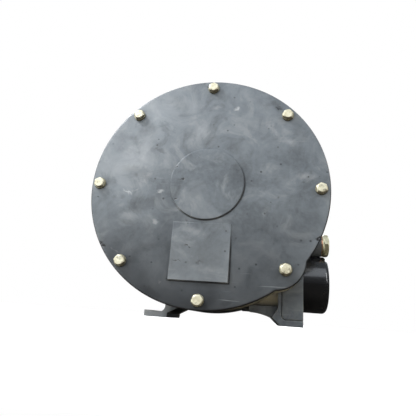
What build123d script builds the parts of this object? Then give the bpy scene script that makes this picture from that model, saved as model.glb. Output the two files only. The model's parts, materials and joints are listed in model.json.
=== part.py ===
from build123d import *
from math import cos, pi, radians, sin, tan
import os

os.makedirs("parts", exist_ok=True)

# All sizes are in millimetres. X runs to the right, Y from the cover to the back, Z up.
# The origin is the middle of the four foot holes, on the plane that the feet stand on.

# Feet
foot_pitch_x = 140.0
foot_pitch_y = 50.0
foot_length = 66.0
foot_hole_radius = 3.4
foot_hole_depth = 16.0
left_tip = 9.0
left_flange = 5.2
left_pad = 1.0
left_pad_width = 7.0
left_heel = 15.5
web_width = 15.0
web_fillet = 6.0
web_rise = 6.5
web_tuck = 4.0
heel_rise = 4.5
heel_run = 3.0
right_flange = 6.0
right_heel_run = 2.5
right_heel_back = 5.5
right_heel_height = 7.5
gusset_width = 48.0
gusset_left_x = 28.0

# Drum
drum_x = -20.0
drum_floor = 8.0
drum_front_y = -53.0
drum_wall = 6.0
back_wall = 8.0
drum_back_y = 40.0
lobe_radius = 30.0
lobe_rise = 6.3
lobe_angle = -45.0
rib_count = 8
rib_width = 4.0
rib_height = 4.0
rib_margin = 17.0
rib_angle = 22.5
small_boss_radius = 9.0
small_thread = 5.0

# Cover and its fasteners
cover_thickness = 6.0
cover_edge = 0.8
gasket_thickness = 1.0
gasket_inset = 0.5
gasket_width = 15.0
bolt_margin = 9.5
bolt_count = 8
bolt_radius = 3.0
bolt_play = 0.3
bolt_length = 20.0
bore_overrun = 1.0
bolt_across_flats = 10.0
bolt_head = 3.6
bolt_crown = 0.4
bolt_crown_taper = 50.0
washer_radius = 6.25
washer_thickness = 1.6
bolt_boss_radius = 8.0
bolt_boss_back_y = -28.0
boss_radius = 38.8
boss_height = 1.5
pad_width = 59.3
pad_height = 58.3
pad_shift = -1.6
pad_drop = 68.3
pad_step = 2.0

# Main shaft and its bearings
shaft_rise = 3.2
front_journal = 10.0
shaft_shoulder = 13.0
shaft_seat = 12.5
rear_journal = 8.5
front_bearing_radius = 21.0
front_bearing_width = 12.0
rear_bearing_radius = 20.0
rear_bearing_width = 12.0
running_fit = 0.03
seat_fit = 0.05
cover_hub_radius = 30.0
cover_hub_wall = 2.0
cover_floor = 5.0
rear_hub_radius = 32.0
rear_hub_front_y = 28.0
rear_hub_back_y = 46.0
rear_lip = 3.0
rear_lip_radius = 14.0
ring_width = 1.2
ring_reach = 2.0
ring_groove = 0.6
ring_gap = 3.0
ring_overcut = 1.0
shoulder_gap = 1.0
shaft_end_gap = 0.5
bearing_race = 3.0
bearing_recess = 0.6
bearing_play = 0.1

# Worm gear
gear_module = 2.0
wheel_teeth = 80
worm_diameter = 22.4
flank_angle = 20.0
tooth_play = 0.25
tooth_floor = 0.4
wheel_width = 18.0
rim_depth = 16.0
web_half_width = 4.0
wheel_boss_radius = 22.0
wheel_boss_half = 14.0
rim_pin_count = 6
rim_pin_radius = 2.5
hub_rim = 7.0
web_hole_radius = 9.0
worm_turns = 6
thread_overlap = 0.2
slot_side = 2.0
slot_tip = 2.0
key_width = 8.0
key_height = 7.0
key_length = 38.0
key_y = 6.0

# Grease wiper
wiper_setback = 3.0
wiper_thickness = 3.0
wiper_gap = 6.3
wiper_width = 16.0
wiper_hub = 20.0

# Cam and pump elements
cam_y = 20.0
cam_width = 12.0
cam_base = 35.0
cam_nose = 15.0
piston_stroke = 5.0
cam_gap = 0.3
cam_rest_angle = -45.0
piston_radius = 3.0
piston_foot_radius = 7.5
piston_foot = 3.5
piston_room = 9.7
nose_start = 56.0
nose_radius = 5.0
shoulder_start = 74.0
barrel_radius = 8.0
thread_length = 19.0
thread_radius = 11.0
element_boss_radius = 16.0
element_boss_depth = 23.0
element_rise = 2.0
element_seal = 1.0
element_head = 8.0
element_across_flats = 27.0
valve_depth = 35.0
valve_bore = 4.6
ball_radius = 3.5
outlet_across_flats = 17.0
outlet_length = 14.0
spigot_length = 20.0
outlet_thread = 4.5
outlet_depth = 9.0
spring_wire = 0.9
spring_turns = 4.0
valve_wire = 0.45
valve_turns = 5.0
spring_radius = 6.6
valve_spring_radius = 2.9
inlet_radius = 1.6
outlet_bore = 2.0
seal_radius = 15.5
ball_play = 0.02

# Motor and worm shaft
worm_z = 45.0
motor_radius = 29.8
motor_fit = 0.15
motor_wall = 1.6
motor_right_x = 107.5
motor_left_x = 41.0
motor_edge = 2.5
end_bell = 3.0
tunnel_wall = 2.85
tunnel_left_x = 20.0
block_left_x = 56.5
block_right_x = 81.0
panel_inset = 3.5
panel_groove = 1.4
panel_groove_depth = 1.5
panel_corner = 4.5
worm_boss_radius = 20.0
worm_boss_left_x = -68.0
worm_journal = 5.0
worm_bearing_radius = 13.0
worm_bearing_width = 8.0
worm_bearing_x = -62.0
worm_neck = 6.5
chamber_radius = 14.5
drive_journal = 7.5
drive_bearing_radius = 15.0
drive_bearing_width = 8.0
drive_bearing_gap = 1.0
motor_shaft_radius = 4.0
coupling_radius = 9.0
coupling_gap = 1.4
coupling_end_gap = 1.0
rotor_radius = 21.8
rotor_slots = 10
magnet_thickness = 5.5
magnet_arc = 140.0
core_left_x = 61.0
core_length = 28.0
commutator_radius = 8.0
commutator_length = 8.0
motor_screw_radius = 2.5
motor_screw_circle = 23.0
motor_screw_head = 4.5
motor_screw_length = 15.0
screw_head_height = 3.5
motor_bearing_radius = 8.0
motor_bearing_width = 5.0
motor_cup_radius = 10.0
brush_width = 5.0
brush_length = 12.0
brush_wall = 1.5
brush_plate_thickness = 2.0
winding_length = 3.8
winding_gap = 1.0
winding_radius = 20.0
rotor_slot_width = 2.2
rotor_slot_depth = 6.0
lead_radius = 0.8
lead_spread = 1.4
screw_seat = 6.0
worm_strut_y = 15.0
wire_hole_radius = 4.0

# Side plug, rear cap, filler, vent and power socket
plug_y = -5.0
plug_rise = 41.5
plug_tuck = 3.3
plug_boss_radius = 12.5
plug_thread = 8.3
plug_across_flats = 22.0
plug_collar_radius = 11.5
plug_collar = 2.3
plug_head = 5.0
plug_edge = 0.8
plug_seal = 1.2
plug_shank = 13.0
cap_thickness = 5.0
cap_screw_circle = 26.0
cap_screw_radius = 2.5
cap_screw_count = 4
cap_screw_depth = 12.0
socket_x = 44.0
socket_radius = 11.0
socket_boss_wall = 2.0
nipple_shift = -72.0
nipple_drop = 51.0
vent_shift = 62.0
vent_rise = 75.0
nipple_across_flats = 11.0
nipple_hex = 4.0
nipple_neck = 6.0
nipple_neck_radius = 2.6
nipple_ball = 3.3
vent_across_flats = 14.0
vent_hex = 5.0
vent_cap_radius = 8.5
vent_cap = 4.0
socket_flange = 3.0
socket_length = 12.0
socket_shell = 8.0
socket_wall = 1.2
pin_circle = 3.2
pin_radius = 1.0
pin_count = 3
pin_length = 4.0

# Places worked out from the sizes above
cavity_back_y = drum_back_y - back_wall
drum_length = drum_back_y - drum_front_y
cover_back_y = drum_front_y - gasket_thickness
cover_front_y = cover_back_y - cover_thickness
wheel_radius = gear_module * wheel_teeth / 2
worm_radius = worm_diameter / 2
shaft_z = worm_z + wheel_radius + worm_radius
drum_z = shaft_z - shaft_rise
drum_radius = drum_z - drum_floor
bolt_circle = drum_radius - bolt_margin
rib_reach = drum_radius - rib_margin
rim_inner_radius = wheel_radius - rim_depth
web_hole_circle = (rim_inner_radius + wheel_boss_radius) / 2
wiper_reach = bolt_circle - bolt_boss_radius - shaft_rise - wiper_gap
element_face = drum_radius + element_rise
element_boss_start = element_face - element_boss_depth
thread_start = element_face - thread_length
valve_seat = element_face - valve_depth
plug_z = worm_z + plug_rise
plug_face_x = drum_x + drum_radius - plug_tuck
nipple_x = drum_x + nipple_shift
nipple_z = drum_z - nipple_drop
vent_x = drum_x + vent_shift
vent_z = drum_z + vent_rise
motor_bore = motor_radius + motor_fit
tunnel_radius = motor_bore + tunnel_wall
lobe_offset = drum_radius + lobe_rise - lobe_radius
lobe_x = drum_x + lobe_offset * cos(radians(lobe_angle))
lobe_z = drum_z + lobe_offset * sin(radians(lobe_angle))
# The drive bearing stands just clear of the wheel's tips, and the coupling fills the space up to the motor
bearing_drop = wheel_radius + worm_radius - drive_bearing_radius
bearing_clear = wheel_radius + gear_module + drive_bearing_gap
drive_bearing_x = drum_x + (bearing_clear**2 - bearing_drop**2) ** 0.5
drive_bearing_end_x = drive_bearing_x + drive_bearing_width
coupling_x = drive_bearing_end_x + ring_width + coupling_gap
coupling_length = motor_left_x - coupling_end_gap - coupling_x
coupling_middle_x = coupling_x + coupling_length / 2


def front_plane(y):
    return Plane.XZ.offset(-y)


def side_plane(x):
    return Plane.YZ.offset(x)


def drum_outline(inset):
    with BuildSketch() as outline:
        with Locations((drum_x, drum_z)):
            Circle(drum_radius - inset)
        with Locations((lobe_x, lobe_z)):
            Circle(lobe_radius - inset)
    return outline.sketch


outer_outline = drum_outline(0)
inner_outline = drum_outline(drum_wall)
gasket_outline = drum_outline(gasket_inset)


# A round step along Y, from y_front back to y_back
def round_y(y_front, y_back, radius, x=drum_x, z=shaft_z, mode=Mode.ADD):
    with BuildSketch(front_plane(y_back)) as step:
        with Locations((x, z)):
            Circle(radius)
    extrude(step.sketch, amount=y_back - y_front, mode=mode)


# A round step along X, from x_left to x_right
def round_x(x_left, x_right, radius, y=0.0, z=worm_z, mode=Mode.ADD):
    with BuildSketch(side_plane(x_left)) as step:
        with Locations((y, z)):
            Circle(radius)
    extrude(step.sketch, amount=x_right - x_left, mode=mode)


# A round step along a plane's own normal, between two distances from it
def round_out(plane, start, end, radius, mode=Mode.ADD):
    with BuildSketch(plane.offset(start)) as step:
        Circle(radius)
    extrude(step.sketch, amount=end - start, mode=mode)


def hexagon_out(plane, start, end, across_flats, mode=Mode.ADD):
    with BuildSketch(plane.offset(start)) as step:
        RegularPolygon(across_flats / 2, 6, major_radius=False)
    extrude(step.sketch, amount=end - start, mode=mode)


# Pump elements lie along these two lines, square to the main shaft
element_lines = {
    "top": Plane(origin=(drum_x, cam_y, shaft_z), x_dir=(0, 1, 0), z_dir=(0, 0, 1)),
    "left": Plane(origin=(drum_x, cam_y, shaft_z), x_dir=(0, 1, 0), z_dir=(-1, 0, 0)),
}
plug_line = Plane(origin=(plug_face_x, plug_y, plug_z), x_dir=(0, 1, 0), z_dir=(1, 0, 0))
foot_front_y = -foot_length / 2
foot_back_y = foot_length / 2
left_hole_x = -foot_pitch_x / 2
left_end_x = left_hole_x - left_tip
left_web_x = left_end_x + left_heel + web_fillet


with BuildPart() as housing:
    with BuildSketch(front_plane(drum_back_y)):
        add(outer_outline)
    extrude(amount=drum_length)

    # Left foot: a flange with a raised pad at its tip, and a web that leans in to the drum
    with BuildSketch(front_plane(foot_back_y)):
        with BuildLine():
            Polyline(
                (left_end_x, 0),
                (left_web_x + heel_run, 0),
                (left_web_x + heel_run, heel_rise),
                (left_web_x + web_width, heel_rise + web_rise),
                (left_web_x + web_width, heel_rise + web_rise + web_tuck),
                (left_web_x, heel_rise + web_rise + 2 * web_tuck),
                (left_web_x, left_flange),
                (left_end_x + left_pad_width + left_pad, left_flange),
                (left_end_x + left_pad_width, left_flange + left_pad),
                (left_end_x, left_flange + left_pad),
                close=True,
            )
        make_face()
    extrude(amount=foot_length)
    crease = housing.edges().filter_by(Axis.Y).sort_by_distance((left_web_x, 0, left_flange))[0]
    fillet(crease, web_fillet)

    # Right foot and motor block
    gusset_top = worm_z - tunnel_radius
    heel_corner = (block_left_x - right_heel_back, right_heel_height)
    with BuildSketch(front_plane(foot_back_y)):
        with BuildLine():
            Polyline(
                (block_right_x, worm_z),
                (block_right_x, 0),
                (block_left_x + right_heel_run, 0),
                heel_corner,
                (block_left_x, gusset_top + web_tuck),
                (block_left_x, worm_z),
                close=True,
            )
        make_face()
    extrude(amount=foot_length)
    round_x(tunnel_left_x, block_right_x, tunnel_radius)

    # Gusset that carries the tunnel's underside down to the right foot
    with BuildSketch(front_plane(gusset_width / 2)):
        with BuildLine():
            Polyline(
                heel_corner,
                (block_left_x, right_heel_height),
                (block_left_x, gusset_top + drum_wall),
                (gusset_left_x, gusset_top + drum_wall),
                (gusset_left_x, gusset_top),
            )
            TangentArc((gusset_left_x, gusset_top), heel_corner, tangent=(1, 0))
        make_face()
    extrude(amount=gusset_width)

    # Bosses on the outside for the side plug and for each pump element
    round_out(plug_line, -plug_boss_radius, 0, plug_boss_radius)
    for line in element_lines.values():
        round_out(line, element_boss_start, element_face - element_seal, element_boss_radius)

    # The grease chamber, open at the front
    with BuildSketch(front_plane(cavity_back_y)):
        add(inner_outline)
    extrude(amount=drum_length - back_wall, mode=Mode.SUBTRACT)

    # What stands in the chamber: cover bolt bosses, worm tunnel, motor tunnel, element bosses, rear hub
    with BuildSketch(front_plane(bolt_boss_back_y)):
        with Locations((drum_x, drum_z)):
            with PolarLocations(bolt_circle, bolt_count):
                Circle(bolt_boss_radius)
        add(outer_outline, mode=Mode.INTERSECT)
    extrude(amount=bolt_boss_back_y - drum_front_y)
    round_x(worm_boss_left_x, tunnel_left_x, worm_boss_radius)
    round_x(tunnel_left_x, block_right_x, tunnel_radius)
    for line in element_lines.values():
        round_out(line, element_boss_start, element_face - element_seal, element_boss_radius)
    round_y(rear_hub_front_y, rear_hub_back_y, rear_hub_radius)
    round_y(worm_strut_y, cavity_back_y, worm_boss_radius, z=worm_z)

    # Wiring boss from the motor tunnel to the back wall
    round_y(worm_strut_y, cavity_back_y, socket_radius + socket_boss_wall, x=socket_x, z=worm_z)

    # Stiffening ribs on the back
    rib_start = rear_hub_radius - rib_height
    with BuildSketch(front_plane(drum_back_y + rib_height)):
        with Locations((drum_x, shaft_z)):
            with PolarLocations((rib_start + rib_reach) / 2, rib_count, start_angle=rib_angle):
                Rectangle(rib_reach - rib_start, rib_width)
    extrude(amount=rib_height)
    for x, z in ((nipple_x, nipple_z), (vent_x, vent_z)):
        round_y(cavity_back_y, drum_back_y + rib_height, small_boss_radius, x=x, z=z)

    # Bores for the motor, the worm shaft and its two bearings
    round_x(motor_left_x, motor_right_x, motor_bore, mode=Mode.SUBTRACT)
    round_x(drive_bearing_x, motor_left_x, drive_bearing_radius + seat_fit, mode=Mode.SUBTRACT)
    round_x(worm_bearing_x + worm_bearing_width, drive_bearing_x, chamber_radius, mode=Mode.SUBTRACT)
    round_x(worm_bearing_x, drive_bearing_x, worm_bearing_radius + seat_fit, mode=Mode.SUBTRACT)
    for y in (-motor_screw_circle, motor_screw_circle):
        round_x(tunnel_left_x, motor_left_x - screw_seat, motor_screw_head, y=y, mode=Mode.SUBTRACT)
        round_x(tunnel_left_x, motor_left_x, motor_screw_radius + bolt_play, y=y, mode=Mode.SUBTRACT)

    # Slot that the worm wheel turns in
    slot_half = wheel_width / 2 + slot_side
    round_y(-slot_half, slot_half, wheel_radius + gear_module + slot_tip, mode=Mode.SUBTRACT)

    # Rear bearing seat, cover bolt holes, cap screw holes, element bores, wiring hole and foot holes
    round_y(rear_hub_front_y, rear_hub_back_y, rear_lip_radius, mode=Mode.SUBTRACT)
    rear_seat_y = rear_hub_front_y + rear_lip
    round_y(rear_seat_y, rear_hub_back_y, rear_bearing_radius + seat_fit, mode=Mode.SUBTRACT)
    bolt_hole_end = cover_front_y - washer_thickness + bolt_length + bore_overrun
    with BuildSketch(front_plane(bolt_hole_end)):
        with Locations((drum_x, drum_z)):
            with PolarLocations(bolt_circle, bolt_count):
                Circle(bolt_radius)
    extrude(amount=bolt_hole_end - drum_front_y, mode=Mode.SUBTRACT)
    with BuildSketch(front_plane(rear_hub_back_y)):
        with Locations((drum_x, shaft_z)):
            with PolarLocations(cap_screw_circle, cap_screw_count, start_angle=45):
                Circle(cap_screw_radius)
    extrude(amount=cap_screw_depth, mode=Mode.SUBTRACT)
    for line in element_lines.values():
        round_out(line, element_boss_start - bore_overrun, element_face, thread_radius, mode=Mode.SUBTRACT)
    round_out(plug_line, -2 * plug_shank, 0, plug_thread + seat_fit, mode=Mode.SUBTRACT)
    round_y(0, drum_back_y, wire_hole_radius, x=socket_x, z=worm_z, mode=Mode.SUBTRACT)
    for x, z in ((nipple_x, nipple_z), (vent_x, vent_z)):
        round_y(cavity_back_y, drum_back_y + rib_height, small_thread, x=x, z=z, mode=Mode.SUBTRACT)
    with BuildSketch(Plane.XY):
        with GridLocations(foot_pitch_x, foot_pitch_y, 2, 2):
            Circle(foot_hole_radius)
    extrude(amount=foot_hole_depth, mode=Mode.SUBTRACT)

    # Groove that frames the block's front panel
    panel_left_x = block_left_x + panel_inset
    with BuildSketch(front_plane(foot_front_y + panel_groove_depth)):
        with BuildLine():
            FilletPolyline(
                (panel_left_x, worm_z - small_boss_radius),
                (panel_left_x, right_flange),
                (block_right_x + panel_groove, right_flange),
                radius=panel_corner,
            )
            offset(amount=panel_groove / 2)
        make_face()
    extrude(amount=2 * panel_groove_depth, mode=Mode.SUBTRACT)
housing.part.label = "housing"
export_step(housing.part, "parts/housing.step")

# Cover: a flat plate with a raised boss and a raised pad outside, and a bearing hub inside
with BuildPart() as cover:
    with BuildSketch(front_plane(cover_back_y)):
        add(outer_outline)
    extrude(amount=cover_thickness)
    chamfer(cover.faces().sort_by(Axis.Y)[0].outer_wire().edges(), cover_edge)
    round_y(cover_front_y - boss_height, cover_front_y, boss_radius)
    with BuildSketch(front_plane(cover_front_y)):
        with Locations((drum_x + pad_shift, drum_z - pad_drop)):
            Rectangle(pad_width, pad_height)
    extrude(amount=pad_step)
    front_seat_y = cover_front_y + cover_floor
    hub_end_y = front_seat_y + front_bearing_width + cover_hub_wall
    round_y(cover_back_y, hub_end_y, cover_hub_radius)
    round_y(front_seat_y, hub_end_y, front_bearing_radius + seat_fit, mode=Mode.SUBTRACT)
    with BuildSketch(front_plane(cover_back_y)):
        with Locations((drum_x, drum_z)):
            with PolarLocations(bolt_circle, bolt_count):
                Circle(bolt_radius + bolt_play)
    extrude(amount=cover_thickness, mode=Mode.SUBTRACT)
cover.part.label = "cover"
export_step(cover.part, "parts/cover.step")

with BuildPart() as cover_gasket:
    with BuildSketch(front_plane(drum_front_y)):
        add(gasket_outline)
        with Locations((drum_x, drum_z)):
            Circle(drum_radius - gasket_width, mode=Mode.SUBTRACT)
            with PolarLocations(bolt_circle, bolt_count):
                Circle(bolt_radius + bolt_play, mode=Mode.SUBTRACT)
    extrude(amount=gasket_thickness)
cover_gasket.part.label = "cover_gasket"
export_step(cover_gasket.part, "parts/cover_gasket.step")

bolt_plane = Plane(origin=(drum_x, cover_front_y, drum_z), x_dir=(1, 0, 0), z_dir=(0, -1, 0))

with BuildPart() as cover_washers:
    with BuildSketch(bolt_plane):
        with PolarLocations(bolt_circle, bolt_count):
            Circle(washer_radius)
            Circle(bolt_radius + bolt_play / 2, mode=Mode.SUBTRACT)
    extrude(amount=washer_thickness)
cover_washers.part.label = "cover_washers"
export_step(cover_washers.part, "parts/cover_washers.step")

with BuildPart() as cover_bolts:
    with BuildSketch(bolt_plane.offset(washer_thickness)):
        with PolarLocations(bolt_circle, bolt_count):
            RegularPolygon(bolt_across_flats / 2, 6, major_radius=False)
    extrude(amount=bolt_head)
    with BuildSketch(bolt_plane.offset(washer_thickness)):
        with PolarLocations(bolt_circle, bolt_count):
            Circle(bolt_radius - seat_fit)
    extrude(amount=-bolt_length)
    with BuildSketch(bolt_plane.offset(washer_thickness + bolt_head)):
        with PolarLocations(bolt_circle, bolt_count):
            Circle(bolt_across_flats / 2)
    extrude(amount=bolt_crown, taper=bolt_crown_taper)
cover_bolts.part.label = "cover_bolts"
export_step(cover_bolts.part, "parts/cover_bolts.step")

# Side plug on a sealing washer
with BuildPart() as side_plug_washer:
    round_out(plug_line, 0, plug_seal, plug_collar_radius)
    round_out(plug_line, 0, plug_seal, plug_thread + seat_fit, mode=Mode.SUBTRACT)
side_plug_washer.part.label = "side_plug_washer"
export_step(side_plug_washer.part, "parts/side_plug_washer.step")

with BuildPart() as side_plug:
    round_out(plug_line, -plug_shank, plug_seal, plug_thread)
    round_out(plug_line, plug_seal, plug_seal + plug_collar, plug_collar_radius)
    hexagon_out(plug_line, plug_seal + plug_collar, plug_seal + plug_collar + plug_head, plug_across_flats)
    head_rim = side_plug.faces().sort_by(Axis.X)[-1].edges()
    chamfer(head_rim, plug_edge)
side_plug.part.label = "side_plug"
export_step(side_plug.part, "parts/side_plug.step")

# Main shaft: front journal, shoulder, wheel and cam seat, rear journal with a ring groove
shoulder_start_y = front_seat_y + front_bearing_width + shoulder_gap
wiper_y = hub_end_y + wiper_setback
seat_start_y = -wheel_boss_half
seat_end_y = cam_y + cam_width / 2
rear_bearing_back_y = rear_seat_y + rear_bearing_width
ring_y = rear_bearing_back_y
shaft_end_y = rear_hub_back_y - shaft_end_gap
with BuildPart() as main_shaft:
    round_y(front_seat_y + shaft_end_gap, shoulder_start_y, front_journal)
    round_y(shoulder_start_y, seat_start_y, shaft_shoulder)
    round_y(seat_start_y, seat_end_y, shaft_seat)
    round_y(seat_end_y, shaft_end_y, rear_journal)
    with BuildSketch(front_plane(ring_y + ring_width)):
        with Locations((drum_x, shaft_z)):
            Circle(rear_journal)
            Circle(rear_journal - ring_groove, mode=Mode.SUBTRACT)
    extrude(amount=ring_width, mode=Mode.SUBTRACT)
    with BuildSketch(Plane.XY.offset(shaft_z + shaft_seat - key_height / 2)):
        with Locations((drum_x, key_y)):
            SlotOverall(key_length, key_width, rotation=90)
    extrude(amount=key_height, mode=Mode.SUBTRACT)
main_shaft.part.label = "main_shaft"
export_step(main_shaft.part, "parts/main_shaft.step")

with BuildPart() as shaft_key:
    with BuildSketch(Plane.XY.offset(shaft_z + shaft_seat - key_height / 2)):
        with Locations((drum_x, key_y)):
            SlotOverall(key_length, key_width, rotation=90)
    extrude(amount=key_height)
shaft_key.part.label = "shaft_key"
export_step(shaft_key.part, "parts/shaft_key.step")

# Ball bearings as closed rings, with a shallow recess between their two races
def bearing_ring(y_front, y_back, outer, inner):
    with BuildPart() as ring:
        round_y(y_front, y_back, outer)
        round_y(y_front, y_back, inner, mode=Mode.SUBTRACT)
        middle = (outer + inner) / 2
        half = (outer - inner) / 2 - bearing_race
        for recess in (y_front, y_back - bearing_recess):
            with BuildSketch(front_plane(recess + bearing_recess)) as shield:
                with Locations((drum_x, shaft_z)):
                    Circle(middle + half)
                    Circle(middle - half, mode=Mode.SUBTRACT)
            extrude(shield.sketch, amount=bearing_recess, mode=Mode.SUBTRACT)
    return ring


front_bearing = bearing_ring(
    front_seat_y, front_seat_y + front_bearing_width, front_bearing_radius, front_journal + running_fit
)
front_bearing.part.label = "front_bearing"
export_step(front_bearing.part, "parts/front_bearing.step")

rear_bearing = bearing_ring(
    rear_seat_y, rear_bearing_back_y, rear_bearing_radius, rear_journal + running_fit
)
rear_bearing.part.label = "rear_bearing"
export_step(rear_bearing.part, "parts/rear_bearing.step")

with BuildPart() as shaft_retaining_ring:
    with BuildSketch(front_plane(ring_y + ring_width)):
        with Locations((drum_x, shaft_z)):
            Circle(rear_journal + ring_reach)
            Circle(rear_journal - ring_groove + seat_fit, mode=Mode.SUBTRACT)
            with Locations((0, rear_journal)):
                Rectangle(ring_gap, 2 * (ring_reach + ring_overcut), mode=Mode.SUBTRACT)
    extrude(amount=ring_width - bearing_play)
shaft_retaining_ring.part.label = "shaft_retaining_ring"
export_step(shaft_retaining_ring.part, "parts/shaft_retaining_ring.step")

# Worm wheel: an iron hub with a thin web, and a bronze rim pinned to it
with BuildPart() as wheel_hub:
    round_y(-wheel_boss_half, wheel_boss_half, wheel_boss_radius)
    round_y(-web_half_width, web_half_width, rim_inner_radius)
    round_y(-wheel_width / 2, wheel_width / 2, rim_inner_radius)
    for face_y, end_y in ((-wheel_width / 2, -web_half_width), (web_half_width, wheel_width / 2)):
        with BuildSketch(front_plane(end_y)):
            with Locations((drum_x, shaft_z)):
                Circle(rim_inner_radius - hub_rim)
                Circle(wheel_boss_radius, mode=Mode.SUBTRACT)
        extrude(amount=end_y - face_y, mode=Mode.SUBTRACT)
    with BuildSketch(front_plane(wheel_width / 2)):
        with Locations((drum_x, shaft_z)):
            with PolarLocations(web_hole_circle, rim_pin_count, start_angle=30):
                Circle(web_hole_radius)
            with PolarLocations(rim_inner_radius, rim_pin_count):
                Circle(rim_pin_radius)
    extrude(amount=wheel_width, mode=Mode.SUBTRACT)
    round_y(-wheel_boss_half, wheel_boss_half, shaft_seat, mode=Mode.SUBTRACT)
    with BuildSketch(front_plane(wheel_boss_half)):
        with Locations((drum_x, shaft_z + shaft_seat)):
            Rectangle(key_width, key_height)
    extrude(amount=2 * wheel_boss_half, mode=Mode.SUBTRACT)
wheel_hub.part.label = "wheel_hub"
export_step(wheel_hub.part, "parts/wheel_hub.step")

# Teeth lean by the worm's lead angle. A tooth gap lies over the worm at rest.
tooth_pitch = pi * gear_module
lead_per_mm = tooth_pitch / (2 * pi * worm_radius)
tip_radius = wheel_radius + gear_module
root_radius = wheel_radius - gear_module - tooth_floor
half_at_pitch = (tooth_pitch / 2 - tooth_play) / 2
half_at_tip = half_at_pitch - gear_module * tan(radians(flank_angle))
half_at_root = half_at_pitch + (gear_module + tooth_floor) * tan(radians(flank_angle))


def tooth_outline(y):
    lean = lead_per_mm * y / wheel_radius
    corners = []
    for tooth in range(wheel_teeth):
        middle = -pi / 2 - lean + (tooth + 0.5) * 2 * pi / wheel_teeth
        for radius, half in (
            (root_radius, -half_at_root),
            (tip_radius, -half_at_tip),
            (tip_radius, half_at_tip),
            (root_radius, half_at_root),
        ):
            angle = middle + half / radius
            corners.append((drum_x + radius * cos(angle), shaft_z + radius * sin(angle)))
    return corners


with BuildPart() as worm_wheel_rim:
    for y in (wheel_width / 2, -wheel_width / 2):
        with BuildSketch(front_plane(y)):
            with BuildLine():
                Polyline(*tooth_outline(y), close=True)
            make_face()
    loft(ruled=True)
    round_y(-wheel_width / 2, wheel_width / 2, rim_inner_radius + seat_fit, mode=Mode.SUBTRACT)
    with BuildSketch(front_plane(wheel_width / 2)):
        with Locations((drum_x, shaft_z)):
            with PolarLocations(rim_inner_radius, rim_pin_count):
                Circle(rim_pin_radius)
    extrude(amount=wheel_width, mode=Mode.SUBTRACT)
worm_wheel_rim.part.label = "worm_wheel_rim"
export_step(worm_wheel_rim.part, "parts/worm_wheel_rim.step")

with BuildPart() as rim_pins:
    with BuildSketch(front_plane(wheel_width / 2)):
        with Locations((drum_x, shaft_z)):
            with PolarLocations(rim_inner_radius, rim_pin_count):
                Circle(rim_pin_radius - seat_fit)
    extrude(amount=wheel_width)
rim_pins.part.label = "rim_pins"
export_step(rim_pins.part, "parts/rim_pins.step")

# Cam: two circles joined by tangents, with the keyway that it shares with the wheel
with BuildPart() as pump_cam:
    with BuildSketch(front_plane(cam_y + cam_width / 2)):
        with Locations((drum_x, shaft_z)):
            Circle(cam_base)
            nose_offset = cam_base + piston_stroke - cam_nose
            with PolarLocations(nose_offset, 1, start_angle=cam_rest_angle):
                Circle(cam_nose)
        make_hull()
    extrude(amount=cam_width - seat_fit)
    round_y(cam_y - cam_width / 2, cam_y + cam_width / 2, shaft_seat, mode=Mode.SUBTRACT)
    with BuildSketch(front_plane(cam_y + cam_width / 2)):
        with Locations((drum_x, shaft_z + shaft_seat)):
            Rectangle(key_width, key_height)
    extrude(amount=cam_width, mode=Mode.SUBTRACT)
pump_cam.part.label = "pump_cam"
export_step(pump_cam.part, "parts/pump_cam.step")

with BuildPart() as cam_spacer:
    spacer_end_y = rear_seat_y - cam_gap
    round_y(seat_end_y, spacer_end_y, shaft_seat)
    round_y(seat_end_y, spacer_end_y, rear_journal, mode=Mode.SUBTRACT)
cam_spacer.part.label = "cam_spacer"
export_step(cam_spacer.part, "parts/cam_spacer.step")

with BuildPart() as grease_wiper:
    with BuildSketch(front_plane(wiper_y + wiper_thickness)):
        with Locations((drum_x, shaft_z)):
            SlotOverall(2 * wiper_reach, wiper_width)
            Circle(wiper_hub)
            Circle(shaft_shoulder, mode=Mode.SUBTRACT)
    extrude(amount=wiper_thickness)
grease_wiper.part.label = "grease_wiper"
export_step(grease_wiper.part, "parts/grease_wiper.step")

# Two pump elements, each with its piston, return spring, seal, check valve and outlet
nose_reach = cam_base + piston_stroke
foot_start = nose_reach + cam_gap
foot_end = foot_start + piston_foot
ball_seat = valve_seat + (ball_radius**2 - (piston_radius + running_fit) ** 2) ** 0.5 + ball_play
spigot_start = element_face + element_head - spigot_length
outlet_end = element_face + element_head + outlet_length
piston_tip = valve_seat - piston_room


# A coil of square wire along a line. Its ends stop short of what it presses on.
def coil(line, start, end, radius, wire, turns):
    height = end - start - wire
    origin = line.from_local_coords((0, 0, start + wire / 2))
    with BuildPart() as spring:
        with BuildLine() as path:
            Helix(height / turns, height, radius, center=origin, direction=line.z_dir)
        begin = path.line @ 0
        with BuildSketch(Plane(origin=begin, x_dir=begin - origin, z_dir=path.line % 0)) as section:
            Rectangle(wire, wire)
        sweep(section.sketch, path=path.line, is_frenet=True)
    return spring


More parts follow.
